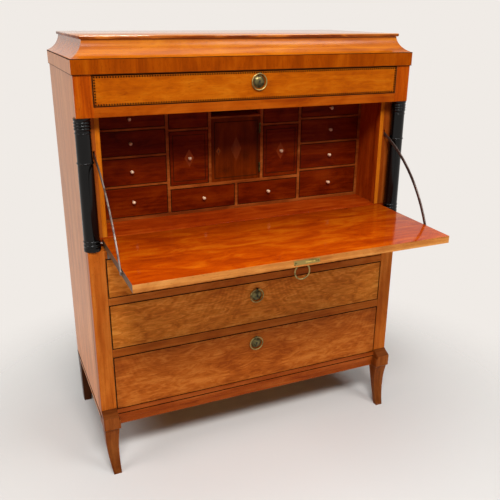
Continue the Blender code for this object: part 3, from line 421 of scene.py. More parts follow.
# the posts are brown in the shade, with a bright strip where they face the light
post_wood = veneer("birch_posts_brown_polished", "#7A2E08", "#984410", "#AE581C", grain="Z",
                   shift=(0.6, 0, 0), growth=0.9, cloud=0.5)
post_edge = veneer("birch_post_edge_bright", "#B05808", "#C86C10", "#DA8422", grain="Z",
                   shift=(1.6, 0, 0), growth=0.8, cloud=0.5)
lining_wood = veneer("mahogany_lining_polished", "#7C2602", "#9A3806", "#B04A0C", grain="Z",
                     shift=(0.9, 0, 0), growth=0.6, cloud=0.9)
print("woods so far:", len(bpy.data.materials))

# %% Pine, black stain and dyed lines
# bare pine is matt and straw-coloured, and its bands are strong
pine = veneer("pine_plain_unpolished", "#9A6A3A", "#B58850", "#C99E68", growth=1.2, cloud=0.4,
              fibre=0.12, roughness=0.62)
pine_lengthwise = veneer("pine_drawer_sides", "#9A6A3A", "#B58850", "#C99E68", grain="Y", growth=1.2,
                         cloud=0.4, fibre=0.12, roughness=0.62)
pine_upright = veneer("pine_back_upright", "#96623A", "#AC784A", "#C28E60", grain="Z", growth=1.2,
                      cloud=0.4, fibre=0.12, roughness=0.65)
# wax over black stain gives narrow bright lights
black_stain = veneer("beech_ebonised_waxed", "#030303", "#060505", "#0A0908", grain="Z", growth=0.5,
                     cloud=0.6, fibre=0.15, roughness=0.13, shine=0.22)
# dyed lines are matt; the same dark finish also draws painted shade in gaps and under edges, and the diamonds show
# as a redder wood
stringing_and_painted_shade = veneer("beech_stringing_dyed_and_painted_shade", "#200D05", "#301609", "#42210F", growth=0.6, cloud=0.6,
                   roughness=0.5, shine=0.0)
red_inlay = veneer("plum_inlay_reddish", "#622406", "#78300A", "#8E3E10", grain="Z", growth=0.6,
                   cloud=0.5, shine=0.06)
faint_inlay = veneer("plum_inlay_faded", "#76290A", "#88340F", "#9A4214", grain="Z", growth=0.6,
                     cloud=0.5, shine=0.06)
print("woods in all:", len(bpy.data.materials))

# %% [markdown]
# ## Brass, iron and bone
#
# The pulls are stamped brass, once gilt and now dull, with a greenish brown film where fingers do not
# reach. The stays are hand-forged iron, nearly black with a warm bloom of old rust. The knobs are
# turned bone, cream with a faint sheen. A metal is told by its reflection, so the film is drawn as
# patches that are both darker and rougher, not as paint over it.

# %% Metals and bone
def aged_metal(name, bright, film, roughness, patch_mm, amount):
    """Metal with a film of age in patches: darker, and less mirror-like."""
    made, tree, place = blank(name)
    patch = pattern(tree, place, patch_mm, patch_mm, 4, 0.5)
    worn = add(tree, "ShaderNodeMapRange", {"Value": patch, "From Min": 0.62 - amount * 0.3,
                                            "From Max": 0.70 - amount * 0.2})
    colour = add(tree, "ShaderNodeMix", {0: worn, 6: linear(bright), 7: linear(film)}, data_type="RGBA")
    rough = add(tree, "ShaderNodeMapRange", {"Value": worn, "To Min": roughness,
                                             "To Max": roughness + 0.25})
    grit = add(tree, "ShaderNodeBump", {"Height": pattern(tree, place, 0.9, 0.9, 2),
                                        "Strength": 0.3, "Distance": 0.0001})
    metal = add(tree, "ShaderNodeBsdfPrincipled", {"Base Color": colour.outputs[2], "Metallic": 1.0,
                                                   "Roughness": rough, "Normal": grit})
    add(tree, "ShaderNodeOutputMaterial", {"Surface": metal})
    return made


brass = aged_metal("brass_plates_dark_film", "#6C6240", "#423C28", 0.30, 22, 0.5)
ring_brass = aged_metal("brass_rings_rubbed", "#A08C54", "#6A5E3A", 0.30, 16, 0.4)
lock_brass = aged_metal("brass_lock_plate_worn", "#A48C50", "#80703C", 0.40, 20, 0.4)
bright_brass = aged_metal("brass_bolt_rubbed_bright", "#D8B868", "#A88C48", 0.30, 8, 0.3)
knuckle_brass = aged_metal("brass_knuckles_dull", "#6A5B30", "#2E2716", 0.48, 3, 0.8)
iron = aged_metal("iron_forged_brown", "#6E625C", "#4A3A34", 0.42, 40, 0.5)

bone, tree, place = blank("bone_turned_polished")
tint = add(tree, "ShaderNodeValToRGB", {"Fac": pattern(tree, place, 4, 1.2, 3)},
           ((0.35, "#D4A680"), (0.6, "#ECCAA8")))
polished = add(tree, "ShaderNodeBsdfPrincipled",
               {"Base Color": tint, "Roughness": 0.28, "IOR": 1.54, "Subsurface Weight": 0.15,
                "Subsurface Radius": (0.002, 0.0012, 0.0008)})
add(tree, "ShaderNodeOutputMaterial", {"Surface": polished})

# painted shade: a dark matt finish stands for the shade inside keyholes and screw slots
hole_black, tree, place = blank("keyhole_shadow")
dust = add(tree, "ShaderNodeValToRGB", {"Fac": pattern(tree, place, 2, 2)},
           ((0.3, "#050403"), (0.8, "#15100C")))
matt = add(tree, "ShaderNodeBsdfPrincipled", {"Base Color": dust, "Roughness": 0.9})
add(tree, "ShaderNodeOutputMaterial", {"Surface": matt})
print("metals, bone and keyhole shadow ready")

# %% [markdown]
# ## Boards with eased edges
#
# On a real cabinet no edge is razor sharp: each was eased with a plane and then rounded by two
# centuries of cloths. A thin bright line along an edge is what tells the eye that a box is wood. The
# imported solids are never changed, so each board is copied, its loose triangles are joined into flat
# faces, and a Bevel modifier rounds the edges of the copy, which then stands for the solid. Where one
# solid wears two woods, the copy is cut along a plane and each face picks its finish.

# %% Helpers that copy a solid and finish a piece
def joined_copy(node):
    """The solid's shape with its triangles joined into whole faces, free of stored normals."""
    bm = bmesh.new()
    bm.from_mesh(frame["nodes"][node].data)
    bmesh.ops.remove_doubles(bm, verts=bm.verts, dist=0.00002)
    bmesh.ops.dissolve_limit(bm, angle_limit=radians(0.4), verts=bm.verts, edges=bm.edges)
    return bm


def keep(bm):
    """The bmesh as a clean mesh, with each face's material number kept."""
    bm.verts.index_update()
    mesh = bpy.data.meshes.new("piece")
    mesh.from_pydata([v.co[:] for v in bm.verts], [], [[v.index for v in f.verts] for f in bm.faces])
    mesh.polygons.foreach_set("material_index", [f.material_index for f in bm.faces])
    bm.free()
    return mesh


def show(name, mesh, finishes, body, stands_for=(), ease=0.0, sharp=35, at=None):
    """Link a mesh as a piece that rides on a body, moved by a matrix and with its edges eased."""
    mesh.name = name
    if at is not None:
        mesh.transform(at)
    piece = bpy.data.objects.new(name, mesh)
    bpy.context.scene.collection.objects.link(piece)
    for finish in finishes:
        mesh.materials.append(finish)
    mesh.shade_smooth()
    mesh.set_sharp_from_angle(angle=radians(sharp))
    if ease:
        edge = piece.modifiers.new("eased edges", "BEVEL")
        edge.width = ease
        edge.segments = 2
        edge.limit_method = "ANGLE"
        edge.angle_limit = radians(30)
        edge.harden_normals = True
    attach(piece, body)
    if stands_for:
        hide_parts(*stands_for)


def board(node, *finishes, ease=0.0009, pick=None, cuts=()):
    """An eased copy of a solid; pick gives the finish number of a face from its middle and normal."""
    bm = joined_copy(node)
    for axis, at in cuts:
        normal = [float(axis == name) for name in "XYZ"]
        bmesh.ops.bisect_plane(bm, geom=bm.verts[:] + bm.edges[:] + bm.faces[:], dist=0.000001,
                               plane_co=[n * at for n in normal], plane_no=normal)
    if pick:
        bm.normal_update()
        for face in bm.faces:
            face.material_index = pick(face.calc_center_median(), face.normal)
    show(node + "_board", keep(bm), finishes, BODY_OF[node], (node,), ease)

# %% The case and the base
FACING = 0.9            # a face looks along an axis when its normal leans this much that way
LEG_BLOCK_FROM = 0.12   # above this the front leg is its block, which has a sloping top
for word in ("left", "right"):
    board("side_" + word, side_birch)
    board("lower_stile_" + word, stile_birch)
    board("leg_front_" + word, leg_birch, leg_top_birch, ease=0.0012,
          pick=lambda middle, normal: int(normal.z > 0.2 and middle.z > LEG_BLOCK_FROM))
    board("leg_back_" + word, back_leg_painted_shade, ease=0.0012)
board("base_frame", apron_birch, side_birch, pick=lambda middle, normal: int(abs(normal.x) > FACING))
board("ledge_rail", rail_birch)
FRIEZE_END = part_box("drawer_frieze")[1][0]
board("frieze_frame", frieze_birch, frieze_end_birch, side_birch,
      cuts=(("X", -FRIEZE_END), ("X", FRIEZE_END)),
      pick=lambda middle, normal: 2 if abs(normal.x) > FACING else int(abs(middle.x) > FRIEZE_END))
board("cornice_band", band_birch, side_birch, pick=lambda middle, normal: int(abs(normal.x) > FACING))
LIP_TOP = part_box("top_board")[1][2] - 0.0022    # the dark edge ends just under the top
board("top_board", top_birch, lip_dark_and_painted_shade, ease=0, cuts=(("Z", LIP_TOP),),
      pick=lambda middle, normal: int(middle.z < LIP_TOP and abs(normal.z) < 0.5))
board("compartment_floor", floor_birch)
RAIL_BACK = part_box("ledge_rail")[1][1]
for node, finish in (("bottom_board", apron_birch), ("rail_lower", rail_birch),
                     ("rail_upper", rail_birch)):
    board(node, finish, pine, cuts=(("Y", RAIL_BACK),),
          pick=lambda middle, normal: int(middle.y > RAIL_BACK))
board("compartment_ceiling", pine, ease=0.0005)
board("back_panel", pine_upright, ease=0.0005)

# %% [markdown]
# ## Posts, fall and long drawers
#
# The posts have a pale strip that faces the light. The fall has a polished writing face, a flamed
# outer face, a worn, paler free edge and iron pivots at its ends. Each long drawer is a veneered
# front on a pine box, whose side walls run lengthwise. All of them are cut and picked as above.

# %% Posts and fall
POST_BACK = FRONT + 0.0604      # behind this the post goes over into its lining board
POST_STRIP = 0.0125             # the pale strip along its inner edge
for word, side in (("left", -1), ("right", 1)):
    node = "inner_post_" + word
    inner = min(abs(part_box(node)[0][0]), abs(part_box(node)[1][0]))
    strip = inner + POST_STRIP
    board(node, post_wood, post_edge, lining_wood, ease=0.0005,
          cuts=(("X", side * strip), ("Y", POST_BACK)),
          pick=lambda middle, normal: 2 if middle.y > POST_BACK or abs(normal.x) > FACING
          else int(normal.y < -FACING and abs(middle.x) < strip))
FALL_HALF = 0.4526      # beyond this half width only the pivots are left
board("fall_front", fall_birch, edge_birch, end_birch, iron, outer_birch, ease=0.0010,
      cuts=(("X", -FALL_HALF), ("X", FALL_HALF)),
      pick=lambda middle, normal: 3 if abs(middle.x) > FALL_HALF else 4 if normal.z < -FACING
      else 2 if abs(normal.x) > FACING else int(normal.y < -FACING))
print("posts and fall done")

# %% Long drawers
BOX_FROM = FRONT + 0.020        # the pine box starts behind the front's thickness
for word, finish in drawer_birch.items():
    board("drawer_" + word, finish, pine, pine_lengthwise, ease=0.0008, cuts=(("Y", BOX_FROM),),
          pick=lambda middle, normal: 2
          if middle.y > BOX_FROM and abs(normal.y) < 0.5 and abs(normal.z) < 0.5
          else int(middle.y > BOX_FROM - 0.0001 or abs(normal.y) < 0.5))
print("long drawers:", len(drawer_birch))

# %% [markdown]
# ## The hollow moulding
#
# A cavetto is a quarter-hollow run along the cornice with a round plane, then veneered. The solid
# has seven flat steps, enough for its shape but not for the soft band of light that a hollow throws.
# The same curve is drawn again here with many more steps, from the band's edge up to the top board.

# %% Cavetto with a fine curve
OVERHANG = 0.006        # how far the top board stands out past the hollow
HOLLOW_SAG = 0.0085
HOLLOW_STEPS = 28
low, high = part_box("cornice_cavetto")
HOLLOW_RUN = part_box("top_board")[0][0] + OVERHANG - low[0]
HOLLOW_RISE = high[2] - low[2]
chord = Vector((HOLLOW_RUN, HOLLOW_RISE))
radius = (chord.length / 2) ** 2 / (2 * HOLLOW_SAG) + HOLLOW_SAG / 2
half_angle = 2 * atan2(HOLLOW_SAG, chord.length / 2)
lean = atan2(chord.y, chord.x)
bm = bmesh.new()
rings = []
for i in range(HOLLOW_STEPS + 1):
    angle = half_angle * (2 * i / HOLLOW_STEPS - 1)
    along = chord.length / 2 + radius * sin(angle)
    sag = radius * (cos(angle) - cos(half_angle))
    inset = along * cos(lean) + sag * sin(lean)
    z = low[2] + along * sin(lean) - sag * cos(lean)
    corners = ((low[0] + inset, low[1] + inset), (high[0] - inset, low[1] + inset),
               (high[0] - inset, high[1]), (low[0] + inset, high[1]))
    rings.append([bm.verts.new((x, y, z)) for x, y in corners])
for under, over in zip(rings, rings[1:]):
    for a in range(4):
        b = (a + 1) % 4
        bm.faces.new((under[a], under[b], over[b], over[a]))
bm.faces.new(rings[0][::-1])
bm.faces.new(rings[-1])
bmesh.ops.recalc_face_normals(bm, faces=bm.faces)
show("cornice_hollow", keep(bm), [cavetto_birch], "case", ("cornice_cavetto",), ease=0.0006)
print("cavetto: %.1f mm in, %.1f mm up" % (HOLLOW_RUN * 1000, HOLLOW_RISE * 1000))

# %% [markdown]
# ## Turned pieces
#
# The columns and the knobs were turned on a lathe, and the plates, eyes and rings of the pulls are
# just as round, so each is one outline spun round an axis. The outline of a column is a row of small
# half-round beads with grooves between them, over a plain shaft that swells a little. A function
# draws a bead as a few points of a half circle, and another spins any outline into a solid. Where the
# outline closes on itself, as the round of a wire does, what it makes is a ring.

# %% Lathe helpers
def bead(height, half, radius, belly):
    """A half-round bead on an outline, from its top to its foot; belly is how far it stands out."""
    return [(radius + belly * cos(a), height + half * sin(a))
            for a in (radians(angle) for angle in range(90, -91, -30))]


def spin(outline, sides, closed=False):
    """A turned solid about Z from radius and height pairs; a closed outline makes a ring."""
    bm = bmesh.new()
    rows = []
    for radius, height in outline:
        turns = [2 * pi * i / sides for i in range(sides if radius > 0.00001 else 1)]
        rows.append([bm.verts.new((radius * cos(a), radius * sin(a), height)) for a in turns])
    for upper, lower in zip(rows, rows[1:] + (rows[:1] if closed else [])):
        for i in range(sides):
            j = (i + 1) % sides
            if len(upper) == 1:
                bm.faces.new((upper[0], lower[i], lower[j]))
            elif len(lower) == 1:
                bm.faces.new((upper[i], lower[0], upper[j]))
            else:
                bm.faces.new((upper[i], lower[i], lower[j], upper[j]))
    for row in () if closed else (rows[0], rows[-1]):
        if len(row) > 1:
            bm.faces.new(row)
    bmesh.ops.recalc_face_normals(bm, faces=bm.faces)
    return keep(bm)


def in_metres(outline):
    """An outline in millimetres as metres."""
    return [(radius / 1000, height / 1000) for radius, height in outline]

# %% The two black columns
low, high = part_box("column_left")
COLUMN_HEIGHT = high[2] - low[2]
R = (high[0] - low[0]) / 2


def column_outline():
    """Capital beads, a thin ring a third of the way down, and a stepped base, in metres."""
    h = COLUMN_HEIGHT
    rows = [(0.96 * R, h), (0.96 * R, 0.985 * h), (0.88 * R, 0.979 * h)]
    for share in (0.966, 0.944, 0.923):
        rows += bead(share * h, 0.0032, 0.88 * R, 0.08 * R)
        rows.append((0.87 * R, (share - 0.0110) * h))
    rows += [(0.87 * R, 0.906 * h)] + bead(0.893 * h, 0.0016, 0.88 * R, 0.07 * R)
    rows += [(0.88 * R, 0.886 * h), (0.89 * R, 0.78 * h), (0.895 * R, 0.684 * h)]
    rows += bead(0.676 * h, 0.0024, 0.895 * R, 0.085 * R)
    rows += [(0.895 * R, 0.668 * h), (0.91 * R, 0.5 * h), (0.93 * R, 0.28 * h), (0.945 * R, 0.088 * h)]
    rows += bead(0.074 * h, 0.0034, 0.94 * R, 0.06 * R) + [(0.935 * R, 0.0595 * h)]
    rows += bead(0.0445 * h, 0.0036, 0.94 * R, 0.06 * R) + [(0.935 * R, 0.031 * h)]
    return rows + [(0.99 * R, 0.026 * h), (R, 0.023 * h), (R, 0.0)]


for word in ("left", "right"):
    low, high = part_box("column_" + word)
    show("column_turned_" + word, spin(column_outline(), 56), [black_stain], "case",
         ("column_" + word,), sharp=50,
         at=Matrix.Translation(((low[0] + high[0]) / 2, (low[1] + high[1]) / 2, low[2])))
print("columns %.0f mm high" % (COLUMN_HEIGHT * 1000))

# %% [markdown]
# ## The nest of small drawers
#
# Each small drawer is a mahogany front on a thin pine box, dovetailed and glued. Opened, it should
# show its walls, so it is built as five boards in one piece: front, two sides, back and bottom. The
# box sizes come from the solid it stands for, and the bone knob is its own turned piece. The carcass
# round them and the cupboard door are copies with rubbed front edges and brass knuckles.

# %% Small drawers
def boards_mesh(boxes):
    """Several closed boxes in one mesh; each is its x, y and z ranges and a finish number."""
    bm = bmesh.new()
    for x, y, z, number in boxes:
        made = bmesh.ops.create_cube(bm, size=1)["verts"]
        for vertex in made:
            vertex.co = [(a + b) / 2 + c * (b - a) for (a, b), c in zip((x, y, z), vertex.co)]
        for face in {f for v in made for f in v.link_faces}:
            face.material_index = number
    return keep(bm)


# thicknesses of the boards
SMALL_FRONT = 0.010
SMALL_WALL = 0.005
SMALL_BOTTOM = 0.004
WALL_DROP = 0.001       # the walls end this far under the top of the front
# radius and height in millimetres, from the tip to the drawer
KNOB_OUTLINE = [(0, 12.5), (1.3, 12.4), (2.6, 11.9), (3.8, 11.0), (4.7, 9.6), (5.1, 8.2), (5.0, 6.9),
                (4.5, 5.7), (3.7, 4.8), (2.9, 4.2), (2.6, 3.4), (2.6, 1.3), (3.3, 0.9), (3.5, 0.0)]
small_nodes = sorted(node for node in frame["nodes"] if node.startswith("nest_drawer_"))
for node in small_nodes:
    low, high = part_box(node)
    x, z, y0, y1 = (low[0], high[0]), (low[2], high[2]), NEST_FRONT, high[1]
    inside = (x[0] + SMALL_WALL, x[1] - SMALL_WALL)
    wall = (y0 + SMALL_FRONT, y1)
    tall = (z[0], z[1] - WALL_DROP)
    mesh = boards_mesh((
        (x, (y0, y0 + SMALL_FRONT), z, 0),
        ((x[0], inside[0]), wall, tall, 1),
        ((inside[1], x[1]), wall, tall, 1),
        (inside, (y1 - SMALL_WALL, y1), tall, 1),
        (inside, (y0 + SMALL_FRONT, y1 - SMALL_WALL), (z[0], z[0] + SMALL_BOTTOM), 1),
    ))
    show(node + "_built", mesh, [front_mahogany, pine], BODY_OF[node], (node,),
         ease=0.0007)
    if "small" not in node:     # the two small ones over the tall drawers have no knob
        show(node + "_knob", spin(in_metres(KNOB_OUTLINE), 32), [bone], BODY_OF[node], sharp=60,
             at=Matrix.Translation((sum(x) / 2, y0, sum(z) / 2)) @ Matrix.Rotation(pi / 2, 4, "X"))
print("small drawers:", len(small_nodes))

# %% The nest's carcass and the cupboard door
board("nest_carcass", nest_mahogany, nest_edge, ease=0.0005,
      pick=lambda middle, normal: int(normal.y < -FACING and middle.y < NEST_FRONT + 0.001))
board("cupboard_door", door_mahogany, knuckle_brass, ease=0.0005, cuts=(("Y", NEST_FRONT - 0.0001),),
      pick=lambda middle, normal: int(middle.y < NEST_FRONT - 0.0002))
print("nest front at y = %.4f" % NEST_FRONT)

# %% [markdown]
# ## Inlay and string lines
#
# Lines of dyed wood about two millimetres wide, let into the veneer, frame the door and the tall
# drawers, and small diamonds mark their middles. An inlay is level with its ground, so each is a thin
# plate that stands a hair proud of it, enough to be drawn. A frame is mitred at its four corners, as
# the maker cut it. Another frame round every small drawer is painted shade: the dark gap round it.

# %% Frames and diamonds
PROUD = 0.0002
SUNK = 0.0006           # how deep an inlay goes into its ground


def string_frame(node, face, width, proud=PROUD, inset=(0, 0)):
    """A bmesh with a mitred frame of string line on the front of a solid, inside its edges."""
    low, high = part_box(node)
    left, right = low[0] + inset[0], high[0] - inset[0]
    under, over = low[2] + inset[1], high[2] - inset[1]
    bm = bmesh.new()
    loops = []
    for y in (face - proud, face + SUNK):
        for step in (0, width):
            loops.append([bm.verts.new((x, y, z)) for x, z in (
                (left + step, under + step), (right - step, under + step),
                (right - step, over - step), (left + step, over - step))])
    outer, inner, outer_back, inner_back = loops
    for a in range(4):
        b = (a + 1) % 4
        for quad in ((outer[a], outer[b], inner[b], inner[a]),
                     (outer_back[b], outer_back[a], inner_back[a], inner_back[b]),
                     (outer[b], outer[a], outer_back[a], outer_back[b]),
                     (inner[a], inner[b], inner_back[b], inner_back[a])):
            bm.faces.new(quad)
    return bm


def plate(bm, outline, face, proud=PROUD, deep=SUNK, number=0):
    """A flat plate on a face that looks to the front, from x and z points, added to a bmesh."""
    near = [bm.verts.new((x, face - proud, z)) for x, z in outline]
    far = [bm.verts.new((x, face + deep, z)) for x, z in outline]
    bm.faces.new(near).material_index = number
    bm.faces.new(far[::-1]).material_index = number
    for i in range(len(near)):
        j = (i + 1) % len(near)
        bm.faces.new((near[j], near[i], far[i], far[j])).material_index = number


def diamond(x, z, half_wide, half_high):
    """The corners of an upright diamond about a middle."""
    return [(x, z - half_high), (x + half_wide, z), (x, z + half_high), (x - half_wide, z)]


def keyhole(x, z, size):
    """A round hole over a flared slot."""
    head = [(x + size * cos(a), z + size * sin(a)) for a in (radians(d) for d in range(-60, 241, 20))]
    return head + [(x - size * 0.8, z - size * 2.6), (x + size * 0.8, z - size * 2.6)]


def inlay(name, bm, finishes, body):
    bmesh.ops.recalc_face_normals(bm, faces=bm.faces)
    show(name, keep(bm), finishes, body)

# %% Inlay of the door and the tall drawers
bm = string_frame("cupboard_door", NEST_FRONT, 0.0022, inset=(0.009, 0.010))
plate(bm, diamond(0.0, 0.926, 0.0175, 0.038), NEST_FRONT, number=1)
plate(bm, diamond(-0.0585, 0.922, 0.0075, 0.0125), NEST_FRONT, 0.0004, number=2)
plate(bm, keyhole(-0.0585, 0.9235, 0.0016), NEST_FRONT, 0.0006, number=3)
inlay("door_inlay", bm, [stringing_and_painted_shade, red_inlay, nest_edge, hole_black], "door")
for word in ("left", "right"):
    bm = string_frame("nest_drawer_tall_" + word, NEST_FRONT, 0.002, inset=(0.010, 0.012))
    inlay("tall_inlay_" + word, bm, [stringing_and_painted_shade], "tall_" + word)
    low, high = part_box("nest_drawer_tall_" + word)
    bm = bmesh.new()
    plate(bm, diamond((low[0] + high[0]) / 2, 0.9087, 0.0150, 0.0270), NEST_FRONT, 0.00015)
    inlay("tall_diamond_" + word, bm, [faint_inlay], "tall_" + word)
# painted shade: a dark frame on each small drawer for the shade in its gap
SHADOW_LINE = 0.0020
for node in small_nodes:
    bm = string_frame(node, NEST_FRONT, SHADOW_LINE, 0.0001)
    inlay(node + "_edge", bm, [stringing_and_painted_shade], BODY_OF[node])
print("door and tall drawers inlaid, small drawers lined")

# %% [markdown]
# ## Dark lines of the case
#
# A dark line frames each long drawer, another runs along the base, and one runs along each edge of
# the plain band. They are partly strings of dyed wood and partly painted shade: the shade in the gaps
# round the drawers and along the base, and the shadow under and over the band. The frames and the
# front of the base line are made as before, and the lines that turn a corner are slim boards.

# %% Lines round the long drawers, the base and the band
LINE_PROUD = 0.0004
# each long drawer: a dark string widened with painted shade of the drawer's gap
for word in ("lower", "middle", "upper"):
    bm = string_frame("drawer_" + word, FRONT, 0.0024, LINE_PROUD)
    inlay("drawer_line_" + word, bm, [stringing_and_painted_shade], word + "_drawer")
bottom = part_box("bottom_board")[0][2]
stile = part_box("lower_stile_right")[0][0]
bm = bmesh.new()
plate(bm, [(-stile, bottom), (stile, bottom), (stile, bottom + 0.0026), (-stile, bottom + 0.0026)],
      FRONT, LINE_PROUD)
inlay("base_line_front", bm, [stringing_and_painted_shade], "case")
# the base line is a dark string with painted shade in the joint of the side and the base
BASE_LINE = 0.0040      # half the height of the line along the side
case_half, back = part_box("side_right")[1][:2]
mesh = boards_mesh([
    (sorted((side * (case_half - 0.001), side * (case_half + 0.0003))), (FRONT, back),
     (bottom - BASE_LINE, bottom + BASE_LINE), 0) for side in (-1, 1)])
show("base_line_sides", mesh, [stringing_and_painted_shade], "case")
low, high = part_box("cornice_band")
# the band's lines are painted shade: the shadow under the band and in the joint over it
LINE = 0.0012
mesh = boards_mesh([
    box for z, tall in ((low[2], LINE), (high[2] - 2 * LINE, 2 * LINE)) for box in (
        ((low[0], low[0] + LINE), (low[1] + LINE, high[1]), (z, z + tall), 0),
        ((high[0] - LINE, high[0]), (low[1] + LINE, high[1]), (z, z + tall), 0),
        ((low[0], high[0]), (low[1], low[1] + LINE), (z + tall - LINE, z + tall), 0))])
show("cornice_painted_shade_lines", mesh, [stringing_and_painted_shade], "case", at=Matrix.Translation((0, -LINE / 6, 0)))
print("dark lines laid")

# %% [markdown]
# ## Geometry Nodes for what repeats
#
# The frieze drawer is framed by a string of tiny dark beads, nearly three hundred of them. Placing
# them by hand would be endless, and a modelled strip could not be resized. A node tree walks along a
# path, puts a point every few millimetres and drops a bead on each one. The tree's inputs are named
# sizes, so the same tree serves any frame.

# %% Helpers that build and run a tree
def new_tree(name, inputs):
    """A geometry tree with named inputs and one geometry output; returns the tree and its inputs."""
    tree = bpy.data.node_groups.new(name, "GeometryNodeTree")
    tree.interface.new_socket("Geometry", in_out="INPUT", socket_type="NodeSocketGeometry")
    for label, kind in inputs:
        tree.interface.new_socket(label, in_out="INPUT", socket_type="NodeSocket" + kind)
    tree.interface.new_socket("Geometry", in_out="OUTPUT", socket_type="NodeSocketGeometry")
    return tree, add(tree, "NodeGroupInput").outputs


def run_tree(tree, values, mesh=None):
    """Run a tree and keep what it makes as a plain mesh."""
    holder = bpy.data.objects.new("holder", mesh or bpy.data.meshes.new("holder"))
    bpy.context.scene.collection.objects.link(holder)
    step = holder.modifiers.new("grow", "NODES")
    step.node_group = tree
    for socket in tree.interface.items_tree:
        if socket.in_out == "INPUT" and socket.name in values:
            step[socket.identifier] = values[socket.name]
    graph = bpy.context.evaluated_depsgraph_get()
    made = bpy.data.meshes.new_from_object(holder.evaluated_get(graph))
    holder.modifiers.remove(step)
    bpy.data.objects.remove(holder, do_unlink=True)
    return made

# %% A tree that lays beads along a frame
BEAD_SIDES = 8
BEAD_RINGS = 5
bead_frame, given = new_tree("bead_frame", (("Width", "Float"), ("Height", "Float"), ("Pitch", "Float"),
                                            ("Bead Radius", "Float"), ("Place", "Vector"),
                                            ("Finish", "Material")))
path = add(bead_frame, "GeometryNodeCurvePrimitiveQuadrilateral",
           {"Width": given["Width"], "Height": given["Height"]})
points = add(bead_frame, "GeometryNodeResampleCurve", {"Curve": path, "Length": given["Pitch"]},
             mode="LENGTH")
ball = add(bead_frame, "GeometryNodeMeshUVSphere",
           {"Radius": given["Bead Radius"], "Segments": BEAD_SIDES, "Rings": BEAD_RINGS})
beads = add(bead_frame, "GeometryNodeInstanceOnPoints", {"Points": points, "Instance": ball})
stand = add(bead_frame, "GeometryNodeTransform",
            {"Geometry": beads, "Rotation": (pi / 2, 0, 0), "Translation": given["Place"]})
real = add(bead_frame, "GeometryNodeRealizeInstances", {"Geometry": stand})
finished = add(bead_frame, "GeometryNodeSetMaterial", {"Geometry": real, "Material": given["Finish"]})
add(bead_frame, "NodeGroupOutput", {0: finished})
print("bead tree:", len(bead_frame.nodes), "nodes")

# %% Beaded frame of the frieze drawer
BEAD_INSET = 0.0055
BEAD_PITCH = 0.0068
BEAD_RADIUS = 0.0023
FRAME_LINE = 0.0028
low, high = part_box("drawer_frieze")
wide = high[0] - low[0] - 2 * BEAD_INSET
tall = high[2] - low[2] - 2 * BEAD_INSET
mesh = run_tree(bead_frame,
                {"Width": wide, "Height": tall, "Pitch": BEAD_PITCH, "Bead Radius": BEAD_RADIUS,
                 "Place": (0, FRONT - PROUD, (low[2] + high[2]) / 2), "Finish": stringing_and_painted_shade})
show("frieze_beads", mesh, [], "frieze_drawer", sharp=80)
# the outer line is a dark string, widened with painted shade of the drawer's gap
bm = string_frame("drawer_frieze", FRONT, FRAME_LINE, 0.0003)
inlay("frieze_line", bm, [stringing_and_painted_shade], "frieze_drawer")
print("beads:", len(mesh.polygons) // (BEAD_SIDES * BEAD_RINGS))

# %% [markdown]
# ## Ring pulls
#
# Each pull is a stamped round plate with a wide smooth dome, and a wire ring hangs round the dome
# from a small eye. On a drawer the dome has a keyhole. Plate, eye and ring are all spun with the
# lathe helper, and a neck holds the eye. The same pull is made facing +Z and then stood on the
# drawer's face, or turned under the open fall.

# %% Plates, eyes and rings
RING_R = 0.0215
WIRE = 0.0019
EYE_LIFT = 0.0037       # from the drawer's face to the middle of the eye
DOME = 0.0062
# radius and height in millimetres, from the crown of the dome to the rim
PLATE_OUTLINE = [(0, 6.2), (3.0, 6.1), (5.9, 5.8), (8.4, 5.25), (10.5, 4.6), (12.1, 3.85), (13.3, 3.05),
                 (14.1, 2.25), (14.6, 1.7), (15.1, 1.4), (16.3, 1.35), (16.8, 1.1),
                 (17.0, 0.7), (17.0, 0.0)]
WIRE_POINTS = 14
WIRE_OUTLINE = [(RING_R + WIRE * cos(a), WIRE * sin(a))
                for a in (2 * pi * i / WIRE_POINTS for i in range(WIRE_POINTS))]
# the eye's wall, outside and inside
EYE_OUTLINE = in_metres([(3.5, -2.75), (3.5, 2.75), (2.4, 2.75), (2.4, -2.75)])
# the neck from the plate to the eye, as the x, y and z ranges of a box and its finish
NECK = ((-0.0018, 0.0018), (0.0136, 0.0186), (0.0004, 0.0034), 0)

pivots = {joint["child"]: Vector(joint["pos_m"]) for joint in frame["joints"] if joint["type"] == "hinge"}
for word in ("lower", "middle", "upper", "frieze", "fall"):
    pivot = pivots[word + "_ring"]
    under = word == "fall"
    body = "fall" if under else word + "_drawer"
    at_eye = Matrix.Translation(pivot) @ Matrix.Rotation(pi if under else pi / 2, 4, "X")
    stand = at_eye @ Matrix.Translation((0, -RING_R, -EYE_LIFT))
    show("pull_disc_" + word, spin(in_metres(PLATE_OUTLINE), 56), [brass], body,
         ("pull_plate_" + word,), sharp=50, at=stand)
    show("pull_eye_" + word, spin(EYE_OUTLINE, 28, closed=True), [brass], body, sharp=50,
         at=at_eye @ Matrix.Rotation(pi / 2, 4, "Y"))
    show("pull_neck_" + word, boards_mesh([NECK]), [brass], body, ease=0.0004, at=stand)
    show("pull_wire_" + word, spin(WIRE_OUTLINE, 64, closed=True), [ring_brass], word + "_ring",
         ("pull_ring_" + word,), sharp=180,
         at=Matrix.Translation(pivot - Vector((0, 0, RING_R))) @ Matrix.Rotation(pi / 2, 4, "X"))
    if not under:
        bm = bmesh.new()
        plate(bm, keyhole(pivot.x, pivot.z - RING_R + 0.0022, 0.0025), pivot.y + EYE_LIFT - DOME,
              0.0001, 0.0008)
        inlay("pull_keyhole_" + word, bm, [hole_black], body)

# %% [markdown]
# ## Iron stays, lock plate and hinges
#
# The stays were forged flat and filed smooth, so a soft bevel is all that their copies need. The
# brass lock plate is let into the free edge of the fall, with its bolt drawn back in the middle and
# a screw at each end, whose slots never line up. A tree drops a screw head on each given point and
# turns it by a seeded random angle.

